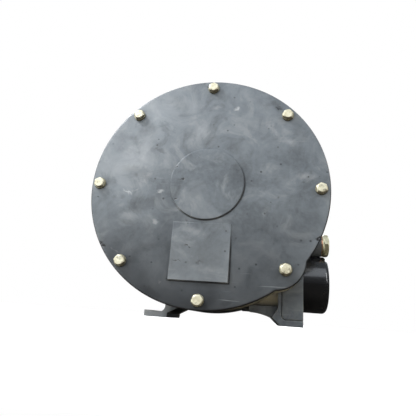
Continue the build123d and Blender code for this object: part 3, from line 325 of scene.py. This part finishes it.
def makeCastPaint(name, values, marked=False):
    material, tree, shader, coords = newMaterial(name)
    noises = {key: noiseOf(tree, coords, *settings) for key, settings in values["noises"].items()}
    colour = values["base"]
    for key, low, high, amount, shade in values["layers"]:
        colour = mixColour(tree, spread(tree, noises[key], low, high, 0.0, amount), colour, values[shade])
    facing = splitVector(tree, normalOf(tree))
    place = splitVector(tree, coords)
    dent = None
    if marked:
        colour, dent = wearAndShadeCover(tree, values, coords, place, facing, noises, colour)
    else:
        colour = paintHousingLight(tree, values, place, facing, colour)
    # flecks sit in patches only
    p = values["flecks"]
    cells = addNode(tree, "ShaderNodeTexVoronoi", {"Vector": coords, "Scale": p["scale"]})
    fleck = times(tree, spread(tree, cells.outputs["Distance"], *p["size"]),
                  spread(tree, noises["fleckPatches"], *p["patches"]))
    colour = mixColour(tree, times(tree, fleck, p["amount"]), colour, values["speckAndShade"])
    # rubbed lines run slightly downhill across the castings
    p = values["streaks"]
    along = addNode(tree, "ShaderNodeMapping",
                    {"Vector": coords, "Scale": p["stretch"], "Rotation": (0, radians(p["downhill"]), 0)})
    streak = times(tree, spread(tree, noiseOf(tree, along.outputs["Vector"], *p["noise"]), *p["lines"]),
                   spread(tree, noises["streakPatches"], *p["patches"]))
    colour = mixColour(tree, times(tree, streak, p["amount"]), colour, values["dust"])
    # an edge is where the rounded normal leaves the surface's own
    p = values["wear"]
    rounded = addNode(tree, "ShaderNodeBevel", {"Radius": values["edge"]}, samples=8).outputs["Normal"]
    kept = addNode(tree, "ShaderNodeVectorMath", {0: rounded, 1: normalOf(tree)},
                   operation="DOT_PRODUCT").outputs["Value"]
    worn = times(tree, spread(tree, kept, *p["bend"]), spread(tree, noises["cloud"], *p["patches"]))
    colour = mixColour(tree, times(tree, worn, p["amount"]), colour, values["bare"])
    # flecks and nicks are pits, so their bumps go down
    skin = rounded
    for key, height in (("lumps", noises["lumps"]), ("flecks", fleck), ("nicks", dent),
                        ("grain", noises["grain"])):
        if height is None:
            continue
        if key in ("flecks", "nicks"):
            height = spread(tree, height, 0.0, 1.0, 1.0, 0.0)
        strength, depth = values["bumps"][key]
        skin = bumpOf(tree, height, strength, depth * mm, skin)
    fillInputs(tree, shader, {
        "Base Color": colour, "Roughness": spread(tree, noises["cloud"], 0.3, 0.7, *values["roughness"]),
        "Normal": skin})
    return material


blackGloss = {
    "base": (0.006, 0.006, 0.007, 1), "dust": (0.028, 0.028, 0.028, 1), "roughness": (0.20, 0.30),
    "haze": (60.0, 6.0, 0.6, 0.5), "dusty": (0.55, 0.75, 0.0, 0.5), "peel": (420.0, 2.0, 0.5),
    "peelBump": (0.05, 0.1), "coat": 0.9, "coatRoughness": 0.12,
}


def makeBlackGloss(name, values):
    material, tree, shader, coords = newMaterial(name)
    haze = noiseOf(tree, coords, *values["haze"])
    strength, depth = values["peelBump"]
    fillInputs(tree, shader, {
        "Base Color": mixColour(tree, spread(tree, haze, *values["dusty"]), values["base"], values["dust"]),
        "Roughness": spread(tree, haze, 0.3, 0.7, *values["roughness"]),
        "Normal": bumpOf(tree, noiseOf(tree, coords, *values["peel"]), strength, depth * mm),
        "Coat Weight": values["coat"], "Coat Roughness": values["coatRoughness"]})
    return material


# "fine" is the scale of the grain, "stained" how dirty it is, and the under-shade number how much painted shade
# darkens the faces that look down
metals = {
    "yellowZinc": {
        "base": (0.68, 0.66, 0.52, 1), "tint": (0.48, 0.44, 0.31, 1), "stainAndShade": (0.06, 0.05, 0.035, 1),
        "roughness": (0.36, 0.54), "fine": 330.0, "stained": 0.85, "metallic": 0.25, "under": 0.9},
    # a brighter copy of the yellow zinc for the side plug: painted light for its lit facets
    "plugZinc": {
        "base": (0.95, 0.93, 0.72, 1), "tint": (0.74, 0.68, 0.42, 1), "stainAndShade": (0.09, 0.08, 0.045, 1),
        "roughness": (0.26, 0.42), "fine": 330.0, "stained": 0.45, "metallic": 0.3, "under": 0.92},
    # a darker copy of the yellow zinc for the cover's washers: painted shade under the screw heads
    "dullZinc": {
        "base": (0.28, 0.265, 0.19, 1), "tint": (0.17, 0.16, 0.11, 1), "stainAndShade": (0.06, 0.055, 0.04, 1),
        "roughness": (0.34, 0.52), "fine": 330.0, "stained": 0.8, "metallic": 0.7, "under": 0.9},
    "brightZinc": {
        "base": (0.70, 0.70, 0.68, 1), "tint": (0.52, 0.53, 0.54, 1), "stainAndShade": (0.20, 0.20, 0.20, 1),
        "roughness": (0.26, 0.46), "fine": 480.0, "stained": 0.35},
    "groundSteel": {
        "base": (0.60, 0.60, 0.61, 1), "tint": (0.46, 0.46, 0.48, 1), "stainAndShade": (0.16, 0.15, 0.14, 1),
        "roughness": (0.20, 0.36), "fine": 620.0, "stained": 0.25},
    "greyIron": {
        "base": (0.23, 0.23, 0.24, 1), "tint": (0.15, 0.15, 0.16, 1), "stainAndShade": (0.07, 0.06, 0.05, 1),
        "roughness": (0.42, 0.62), "fine": 300.0, "stained": 0.4},
    "bronze": {
        "base": (0.72, 0.47, 0.22, 1), "tint": (0.56, 0.34, 0.16, 1), "stainAndShade": (0.20, 0.12, 0.06, 1),
        "roughness": (0.24, 0.42), "fine": 420.0, "stained": 0.3},
    "copper": {
        "base": (0.80, 0.42, 0.26, 1), "tint": (0.60, 0.28, 0.16, 1), "stainAndShade": (0.22, 0.10, 0.06, 1),
        "roughness": (0.26, 0.44), "fine": 420.0, "stained": 0.4},
    "pinBrass": {
        "base": (0.82, 0.64, 0.30, 1), "tint": (0.66, 0.48, 0.20, 1), "stainAndShade": (0.24, 0.17, 0.07, 1),
        "roughness": (0.20, 0.36), "fine": 420.0, "stained": 0.2},
}
metalSkin = {
    "cloud": (150.0, 6.0, 0.6, 0.6), "tinted": (0.35, 0.65), "grainDetail": 5.0, "grainRoughness": 0.6,
    "dirty": (0.52, 0.72), "lookDown": (-0.15, -0.55), "edge": 0.25, "bump": (0.16, 0.1),
}


def makeMetal(name, values):
    material, tree, shader, coords = newMaterial(name)
    p = metalSkin
    cloud = noiseOf(tree, coords, *p["cloud"])
    grain = noiseOf(tree, coords, values["fine"], p["grainDetail"], p["grainRoughness"])
    colour = mixColour(tree, spread(tree, cloud, *p["tinted"]), values["base"], values["tint"])
    dirty = times(tree, spread(tree, grain, *p["dirty"]), values["stained"])
    colour = mixColour(tree, dirty, colour, values["stainAndShade"])
    # painted shade: faces that look down are darkened in the stain colour
    if "under" in values:
        facing = splitVector(tree, normalOf(tree))
        below = spread(tree, facing["Z"], *p["lookDown"], 0.0, values["under"])
        colour = mixColour(tree, below, colour, values["stainAndShade"])
    rounded = addNode(tree, "ShaderNodeBevel", {"Radius": p["edge"] * mm}, samples=4).outputs["Normal"]
    strength, depth = p["bump"]
    fillInputs(tree, shader, {
        "Base Color": colour, "Metallic": values.get("metallic", 1.0),
        "Roughness": spread(tree, grain, 0.3, 0.7, *values["roughness"]),
        "Normal": bumpOf(tree, grain, strength, depth * mm, rounded)})
    return material


plains = {
    "blackRubber": {
        "base": (0.012, 0.012, 0.013, 1), "tint": (0.030, 0.030, 0.030, 1), "roughness": (0.55, 0.75)},
    "ferrite": {
        "base": (0.060, 0.060, 0.066, 1), "tint": (0.030, 0.030, 0.034, 1), "roughness": (0.45, 0.65)},
    "carbon": {
        "base": (0.030, 0.030, 0.032, 1), "tint": (0.060, 0.060, 0.062, 1), "roughness": (0.40, 0.60)},
    "blackPlastic": {
        "base": (0.020, 0.020, 0.022, 1), "tint": (0.038, 0.038, 0.040, 1), "roughness": (0.34, 0.52)},
}
plainSkin = {"cloud": (90.0, 5.0, 0.6, 0.4), "grain": (900.0, 3.0, 0.6), "tinted": (0.4, 0.7),
             "bump": (0.2, 0.08)}


def makePlain(name, values):
    material, tree, shader, coords = newMaterial(name)
    cloud = noiseOf(tree, coords, *plainSkin["cloud"])
    grain = noiseOf(tree, coords, *plainSkin["grain"])
    strength, depth = plainSkin["bump"]
    tinted = spread(tree, cloud, *plainSkin["tinted"])
    fillInputs(tree, shader, {
        "Base Color": mixColour(tree, tinted, values["base"], values["tint"]),
        "Roughness": spread(tree, cloud, 0.3, 0.7, *values["roughness"]),
        "Normal": bumpOf(tree, grain, strength, depth * mm)})
    return material


finishes = {
    "castPaint": makeCastPaint("castPaint", castPaint),
    "coverPaint": makeCastPaint("coverPaint", coverPaint, True),
    "blackGloss": makeBlackGloss("blackGloss", blackGloss),
}
for name, values in metals.items():
    finishes[name] = makeMetal(name, values)
for name, values in plains.items():
    finishes[name] = makePlain(name, values)

slotFinish = {
    "casting": "castPaint", "black_enamel": "blackGloss", "yellow_zinc": "yellowZinc",
    "bright_zinc": "brightZinc", "steel": "groundSteel", "iron": "greyIron", "bronze": "bronze",
    "copper": "copper", "gasket": "blackRubber", "ferrite": "ferrite", "carbon": "carbon",
    "black_plastic": "blackPlastic", "pin_brass": "pinBrass",
}
nodeSlot = {part["node"]: part["material_slot"] for part in frame["record"]["subparts"]}
for name, node in frame["nodes"].items():
    for holder in node.material_slots:
        holder.material = finishes[slotFinish[nodeSlot[name]]]
print("finishes made:", len(finishes))


# Smooths a mesh up to its sharp edges and hands it over as a piece. Made shapes are welded and turned
# outward first.
def finishPiece(name, bm, slot, body, *nodes, finish=None, sharp=30, weld=0.0005, outward=True):
    bmesh.ops.remove_doubles(bm, verts=bm.verts, dist=weld * mm)
    if outward:
        bmesh.ops.recalc_face_normals(bm, faces=bm.faces)
    for face in bm.faces:
        face.smooth = True
    for edge in bm.edges:
        if len(edge.link_faces) == 2 and edge.calc_face_angle(0) > radians(sharp):
            edge.smooth = False
    piece = addObject(name, meshFrom(name, bm))
    piece.data.materials.append(finishes[finish or slotFinish[slot]])
    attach(piece, body)
    if nodes:
        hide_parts(*nodes)
    return piece


# A closed turned shape. The profile is (distance along the axis, radius), both in mm.
def addTurned(bm, profile, centre, axis, steps=96):
    axis = Vector(axis).normalized()
    side = axis.orthogonal().normalized()
    centre = Vector(centre)
    verts = [bm.verts.new(centre + axis * along * mm + side * radius * mm) for along, radius in profile]
    edges = [bm.edges.new((first, second)) for first, second in zip(verts, verts[1:])]
    bmesh.ops.spin(bm, geom=verts + edges, cent=centre, axis=axis, angle=2 * pi, steps=steps, use_merge=True)


# A hexagon head whose corners are cut by a cone, as a turned blank leaves them
def hexHeadMesh(acrossFlats, height, chamfer, crown, flatShare):
    corner = acrossFlats / 2 / cos(pi / 6)
    head = bmesh.new()
    bmesh.ops.create_cone(head, cap_ends=True, segments=6, radius1=corner * mm, radius2=corner * mm,
                          depth=height * mm, matrix=Matrix.Translation((0, 0, height / 2 * mm)))
    cutter = bmesh.new()
    clear = 1.0
    flat = acrossFlats / 2 * flatShare
    drop = (corner + clear - flat) * tan(radians(chamfer))
    addTurned(cutter, [(-clear, 0), (-clear, corner + clear), (height - drop, corner + clear), (height, flat),
                       (height + crown, flat - 3 * crown), (height + crown, 0)], (0, 0, 0), (0, 0, 1), 72)
    bmesh.ops.remove_doubles(cutter, verts=cutter.verts, dist=0.0005 * mm)
    bmesh.ops.recalc_face_normals(cutter, faces=cutter.faces)
    made = [addObject(label, meshFrom(label, bm))
            for label, bm in (("headBlank", head), ("headCutter", cutter))]
    cut = made[0].modifiers.new("cut", "BOOLEAN")
    cut.operation, cut.object, cut.solver = "INTERSECT", made[1], "EXACT"
    result = bpy.data.meshes.new_from_object(made[0].evaluated_get(bpy.context.evaluated_depsgraph_get()))
    for blank in made:
        bpy.data.objects.remove(blank)
    return result


def addMesh(bm, mesh, matrix):
    before = set(bm.verts)
    bm.from_mesh(mesh)
    bmesh.ops.transform(bm, matrix=matrix, verts=[vert for vert in bm.verts if vert not in before])


# Camera and lamps
view = {"place": (0.03807, -0.42568, 0.00244), "turn": (106.1955, -4.1538, 7.3136), "lens": 32.76,
        "sensor": 36.0, "clip": (0.01, 20.0)}

camera = bpy.data.cameras.new("camera")
camera.lens, camera.sensor_width = view["lens"], view["sensor"]
camera.clip_start, camera.clip_end = view["clip"]
cameraObject = addObject("camera", camera)
cameraObject.location = view["place"]
cameraObject.rotation_euler = [radians(angle) for angle in view["turn"]]
scene.camera = cameraObject
scene.view_settings.view_transform = "Standard"

lamps = {
    "key": {"place": (-0.44, -0.56, 0.50), "size": (0.36, 0.36), "power": 1.6, "colour": (0.93, 0.97, 1.0)},
    "above": {"place": (-0.46, -0.29, 0.62), "size": (0.13, 0.13), "power": 5.3, "colour": (0.96, 0.98, 1.0)},
    "band": {"place": (0.20, -0.62, 0.66), "size": (1.0, 0.55), "power": 2.6, "colour": (0.86, 0.92, 1.0)},
    "front": {"place": (-0.15, -1.10, 0.16), "size": (0.9, 0.3), "power": 1.6, "colour": (0.84, 0.92, 1.0)},
    "strip": {"place": (0.62, -0.50, 0.40), "size": (0.10, 0.45), "power": 1.7, "colour": (0.96, 0.98, 1.0)},
    "low": {"place": (-0.52, -0.34, 0.03), "size": (0.20, 0.08), "power": 1.7, "colour": (0.90, 0.95, 1.0)},
    "back": {"place": (0.35, 0.95, 0.75), "size": (0.8, 0.6), "power": 7.0, "colour": (1.0, 1.0, 1.0)},
}
aim = Vector((-0.01, -0.02, 0.11))
for name, lamp in lamps.items():
    light = bpy.data.lights.new(name, "AREA")
    light.shape = "RECTANGLE"
    light.size, light.size_y = lamp["size"]
    light.energy, light.color = lamp["power"], lamp["colour"]
    lightObject = addObject(name, light)
    lightObject.location = lamp["place"]
    lightObject.rotation_euler = (aim - Vector(lamp["place"])).to_track_quat("-Z", "Y").to_euler()
    # the front lamp only fills, so the motor's gloss doesn't show it
    lightObject.visible_glossy = name != "front"

# White surroundings: the camera sees plain white, and the pump gets a soft sky and a warm, dull floor
surround = {"sky": (0.86, 0.93, 1.0, 1), "low": 0.09, "high": 0.33, "bright": 0.7, "white": (1, 1, 1, 1),
            "floor": (0.72, 0.62, 0.46, 1), "floorShine": (0.035, 0.034, 0.032, 1),
            "floorSeen": (0.9, 0.9, 0.9, 1), "glow": 0.90, "floorSize": 6.0, "floorDrop": 0.0002}


def cameraChoice(tree, others, seen):
    ray = addNode(tree, "ShaderNodeLightPath").outputs["Is Camera Ray"]
    return addNode(tree, "ShaderNodeMixShader", {0: ray, 1: others, 2: seen}).outputs[0]


world = bpy.data.worlds.new("studio")
scene.world = world
tree = clearTree(world)
heading = splitVector(tree, addNode(tree, "ShaderNodeTexCoord").outputs["Generated"])
rise = spread(tree, heading["Z"], 0.0, surround["bright"], surround["low"], surround["high"])
soft = addNode(tree, "ShaderNodeBackground", {"Color": surround["sky"], "Strength": rise}).outputs[0]
white = addNode(tree, "ShaderNodeBackground", {"Color": surround["white"], "Strength": 1.0}).outputs[0]
addNode(tree, "ShaderNodeOutputWorld", {"Surface": cameraChoice(tree, soft, white)})

bm = bmesh.new()
bmesh.ops.create_grid(bm, x_segments=1, y_segments=1, size=surround["floorSize"] / 2)
floor = addObject("floor", meshFrom("floor", bm))
floor.location = (0, 0, -surround["floorDrop"])
floor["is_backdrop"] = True
material = bpy.data.materials.new("floor")
tree = clearTree(material)
glossy = addNode(tree, "ShaderNodeLightPath").outputs["Is Glossy Ray"]
shade = mixColour(tree, glossy, surround["floor"], surround["floorShine"])
warm = addNode(tree, "ShaderNodeBsdfDiffuse", {"Color": shade}).outputs[0]
pale = addNode(tree, "ShaderNodeBsdfDiffuse", {"Color": surround["floorSeen"]}).outputs[0]
glow = addNode(tree, "ShaderNodeEmission",
               {"Color": surround["white"], "Strength": surround["glow"]}).outputs[0]
seen = addNode(tree, "ShaderNodeAddShader", {0: pale, 1: glow}).outputs[0]
addNode(tree, "ShaderNodeOutputMaterial", {"Surface": cameraChoice(tree, warm, seen)})
floor.data.materials.append(material)
print("camera, lamps and floor placed")


# The drum's outline: a circle with a lobe at its lower right
drum = {"x": -20.0, "z": 133.0, "radius": 125.0, "lobeRadius": 30.0, "lobeOut": 101.3, "lobeAngle": -45.0,
        "segments": 480}


# How far the outline lies from the drum's middle, at an angle and inside the edge by an inset
def outlineReach(angle, inset):
    turn = angle - radians(drum["lobeAngle"])
    reach = drum["radius"] - inset
    inside = (drum["lobeRadius"] - inset) ** 2 - (drum["lobeOut"] * sin(turn)) ** 2
    if inside > 0 and cos(turn) > 0:
        reach = max(reach, drum["lobeOut"] * cos(turn) + sqrt(inside))
    return reach


def addOutline(bm, inset, y):
    ring = bmesh.ops.create_circle(bm, cap_ends=False, segments=drum["segments"], radius=1.0)["verts"]
    for vert in ring:
        angle = atan2(vert.co.y, vert.co.x)
        reach = outlineReach(angle, inset)
        vert.co = Vector((drum["x"] + reach * cos(angle), y, drum["z"] + reach * sin(angle))) * mm
    return list({edge for vert in ring for edge in vert.link_edges})


def bridgeAll(bm, loops):
    for first, second in zip(loops, loops[1:]):
        bmesh.ops.bridge_loops(bm, edges=first + second)


# Outlines joined one after the next and closed at both ends, with a flat rim around the last end
def addPlate(bm, steps, rim):
    loops = [addOutline(bm, inset, y) for inset, y in steps]
    bridgeAll(bm, loops)
    bmesh.ops.edgeloop_fill(bm, edges=loops[0])
    front = bmesh.ops.edgeloop_fill(bm, edges=loops[-1])["faces"]
    bmesh.ops.inset_region(bm, faces=front, thickness=rim * mm)


p = coverPlate
bm = bmesh.new()
rounding = [(p["edge"] * inward, p["front"] + p["edge"] * back) for inward, back in p["rounding"]]
addPlate(bm, [(p["backEdge"], p["back"]), (0.0, p["back"] - p["backEdge"]), (0.0, p["front"] + p["edge"])]
         + rounding + [(p["edge"], p["front"])], p["rim"])
low, edge, radius = -p["bossHeight"], p["bossEdge"], p["bossRadius"]
addTurned(bm, [(p["bossSunk"], 0), (p["bossSunk"], radius), (low + edge, radius),
               (low + edge * 0.3, radius - edge * 0.3), (low, radius - edge),
               (low, radius - edge - p["bossRim"]), (low, 0)],
          (p["bossX"] * mm, p["front"] * mm, p["bossZ"] * mm), (0, 1, 0), 160)
# the pad is a wedge, with rings of faces inside its edge that keep the shading flat
pad = bmesh.new()
bmesh.ops.create_cube(pad, size=1.0)
for vert in pad.verts:
    raised = p["padStep"] if vert.co.z < 0 else p["padTop"]
    vert.co = Vector((p["padX"] + vert.co.x * p["padWidth"],
                      p["front"] + (p["padSunk"] if vert.co.y > 0 else -raised),
                      p["padZ"] + vert.co.z * p["padHeight"])) * mm
faceY = p["front"] * mm
proud = [edge for edge in pad.edges if min(vert.co.y for vert in edge.verts) < faceY]
bmesh.ops.bevel(pad, geom=proud, affect="EDGES", offset=p["padEdge"] * mm, segments=3, profile=0.5, material=-1)
front = max((face for face in pad.faces if face.calc_center_median().y < faceY),
            key=lambda face: face.calc_area())
for ring in p["padRings"]:
    bmesh.ops.inset_region(pad, faces=[front], thickness=ring * mm)
addMesh(bm, meshFrom("pad", pad), Matrix.Identity(4))
finishPiece("coverPlate", bm, "casting", "pump_body", "cover", finish="coverPaint")

gasket = {"front": -54.0, "back": -53.0, "outside": 0.5, "inside": 15.0}

p = gasket
bm = bmesh.new()
loops = [addOutline(bm, inset, y)
         for inset, y in ((p["outside"], p["front"]), (p["outside"], p["back"]),
                          (p["inside"], p["back"]), (p["inside"], p["front"]))]
bridgeAll(bm, loops + loops[:1])
finishPiece("coverGasket", bm, "gasket", "pump_body", "cover_gasket")
print("cover and gasket made")


# Screws and washers on the cover, in mm. Each screw stopped at a turn of its own, in degrees.
coverScrews = {
    "circle": 115.5, "count": 8, "turns": (12, 47, 3, 28, 55, 19, 39, 8),
    "acrossFlats": 10.0, "head": 4.0, "crown": 0.35, "chamfer": 36, "flatShare": 0.86,
    "shank": 2.9, "length": 18.0, "gap": 0.02,
    "washerRadius": 6.25, "washer": 1.6, "hole": 3.3, "washerEdge": (0.2, 0.25), "washerWear": 0.35,
}

p = coverScrews
screws = bmesh.new()
washers = bmesh.new()
headMesh = hexHeadMesh(p["acrossFlats"], p["head"] - p["crown"], p["chamfer"], p["crown"], p["flatShare"])
towardsFront = Matrix.Rotation(pi / 2, 4, "X")
lift = Matrix.Translation((0, 0, (p["washer"] + p["gap"]) * mm))
rim, (inward, along) = p["washerRadius"], p["washerEdge"]
for index in range(p["count"]):
    angle = 2 * pi * index / p["count"]
    place = Vector((drum["x"] + p["circle"] * cos(angle), coverPlate["front"],
                    drum["z"] + p["circle"] * sin(angle))) * mm
    turn = Matrix.Rotation(radians(p["turns"][index]), 4, "Z")
    addMesh(screws, headMesh, Matrix.Translation(place) @ towardsFront @ lift @ turn)
    addTurned(screws, [(p["gap"], 0), (p["gap"], p["shank"]), (p["length"], p["shank"]), (p["length"], 0)],
              place - Vector((0, p["washer"] * mm, 0)), (0, 1, 0), 24)
    addTurned(washers, [(0.0, p["hole"]), (0.0, rim - inward), (-along, rim), (along - p["washer"], rim),
                        (-p["washer"], rim - p["washerWear"]), (-p["washer"], p["hole"]), (0.0, p["hole"])],
              place, (0, 1, 0), 56)
finishPiece("coverScrews", screws, "yellow_zinc", "pump_body", "cover_bolts")
# the washers take the darker zinc copy: painted shade
finishPiece("coverWashers", washers, "yellow_zinc", "pump_body", "cover_washers", finish="dullZinc")
print("screws and washers made")


# Side plug on its sealing washer, in mm from the face it sits on
sidePlug = {
    "place": (101.7, -5.0, 86.5), "collar": 2.3, "collarRadius": 11.5, "collarEdge": (0.4, 0.5),
    "acrossFlats": 22.0, "head": 5.0, "crown": 0.4, "chamfer": 30, "flatShare": 0.94, "turn": pi / 3,
    "shank": 8.3, "length": 13.0,
    "seal": 1.2, "sealHole": 8.4, "sealRadius": 11.5, "sealEdge": (0.2, 0.3),
}

p = sidePlug
place = Vector(p["place"]) * mm
bm = bmesh.new()
headMesh = hexHeadMesh(p["acrossFlats"], p["head"] - p["crown"], p["chamfer"], p["crown"], p["flatShare"])
toRight = Matrix.Rotation(pi / 2, 4, "Y") @ Matrix.Rotation(p["turn"], 4, "Z")
collarEnd = p["seal"] + p["collar"]
addMesh(bm, headMesh, Matrix.Translation(place + Vector((collarEnd * mm, 0, 0))) @ toRight)
near, far = p["collarEdge"]
addTurned(bm, [(-p["length"], 0), (-p["length"], p["shank"]), (p["seal"], p["shank"]),
               (p["seal"], p["collarRadius"] - near), (p["seal"] + near, p["collarRadius"]),
               (collarEnd - far, p["collarRadius"]), (collarEnd, p["collarRadius"] - far), (collarEnd, 0)],
          place, (1, 0, 0), 96)
# the plug takes the brighter zinc copy: painted light
finishPiece("sidePlug", bm, "yellow_zinc", "pump_body", "side_plug", finish="plugZinc")

bm = bmesh.new()
inward, along = p["sealEdge"]
addTurned(bm, [(0.0, p["sealHole"]), (0.0, p["sealRadius"] - inward), (along, p["sealRadius"]),
               (p["seal"] - along, p["sealRadius"]), (p["seal"], p["sealRadius"] - inward),
               (p["seal"], p["sealHole"]), (0.0, p["sealHole"])], place, (1, 0, 0), 96)
finishPiece("sidePlugWasher", bm, "copper", "pump_body", "side_plug_washer")
print("side plug made")


# Motor can with a rounded end and a shallow dish in it, in mm
motorCan = {"z": 45.0, "left": 44.0, "right": 107.5, "radius": 29.8, "wall": 1.6, "edge": 4.5,
            "dish": ((0.0, 14.5), (0.35, 14.0), (0.7, 13.2), (0.7, 0)), "endWall": 2.6, "innerEdge": 3.0}

p = motorCan
centre, axis = (0, 0, p["z"] * mm), (1, 0, 0)
inner = p["radius"] - p["wall"]
corner = [(p["right"] - p["edge"] + p["edge"] * sin(radians(step)),
           p["radius"] - p["edge"] + p["edge"] * cos(radians(step))) for step in range(0, 91, 10)]
dish = [(p["right"] - depth, radius) for depth, radius in p["dish"]]
bm = bmesh.new()
addTurned(bm, [(p["left"], inner), (p["left"], p["radius"])] + corner + dish, centre, axis, 160)
innerEnd = p["right"] - p["endWall"]
addTurned(bm, [(innerEnd, 0), (innerEnd, inner - p["innerEdge"]), (innerEnd - p["innerEdge"], inner),
               (p["left"], inner)], centre, axis, 160)
finishPiece("motorCan", bm, "black_enamel", "pump_body", "motor_can")
print("motor can made")


# Castings and fittings that keep their CAD shape, with its seams closed and its curves smoothed
def smoothCopy(pieceName, node, slot):
    bm = bmesh.new()
    bm.from_mesh(frame["nodes"][node].data)
    return finishPiece(pieceName, bm, slot, "pump_body", node, sharp=32, weld=0.002, outward=False)


keptShapes = {
    "drumHousing": "housing", "rearCap": "rear_bearing_cap", "rearCapScrews": "rear_cap_screws",
    "fillNipple": "fill_nipple", "ventPlug": "vent_plug", "powerSocket": "power_socket",
    "socketPins": "socket_pins", "topElement": "top_pump_element", "leftElement": "left_pump_element",
    "topElementSeal": "top_element_seal", "leftElementSeal": "left_element_seal",
    "topOutlet": "top_outlet_fitting", "leftOutlet": "left_outlet_fitting",
}
for pieceName, node in keptShapes.items():
    smoothCopy(pieceName, node, nodeSlot[node])
print("kept shapes smoothed:", len(keptShapes))

low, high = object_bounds()
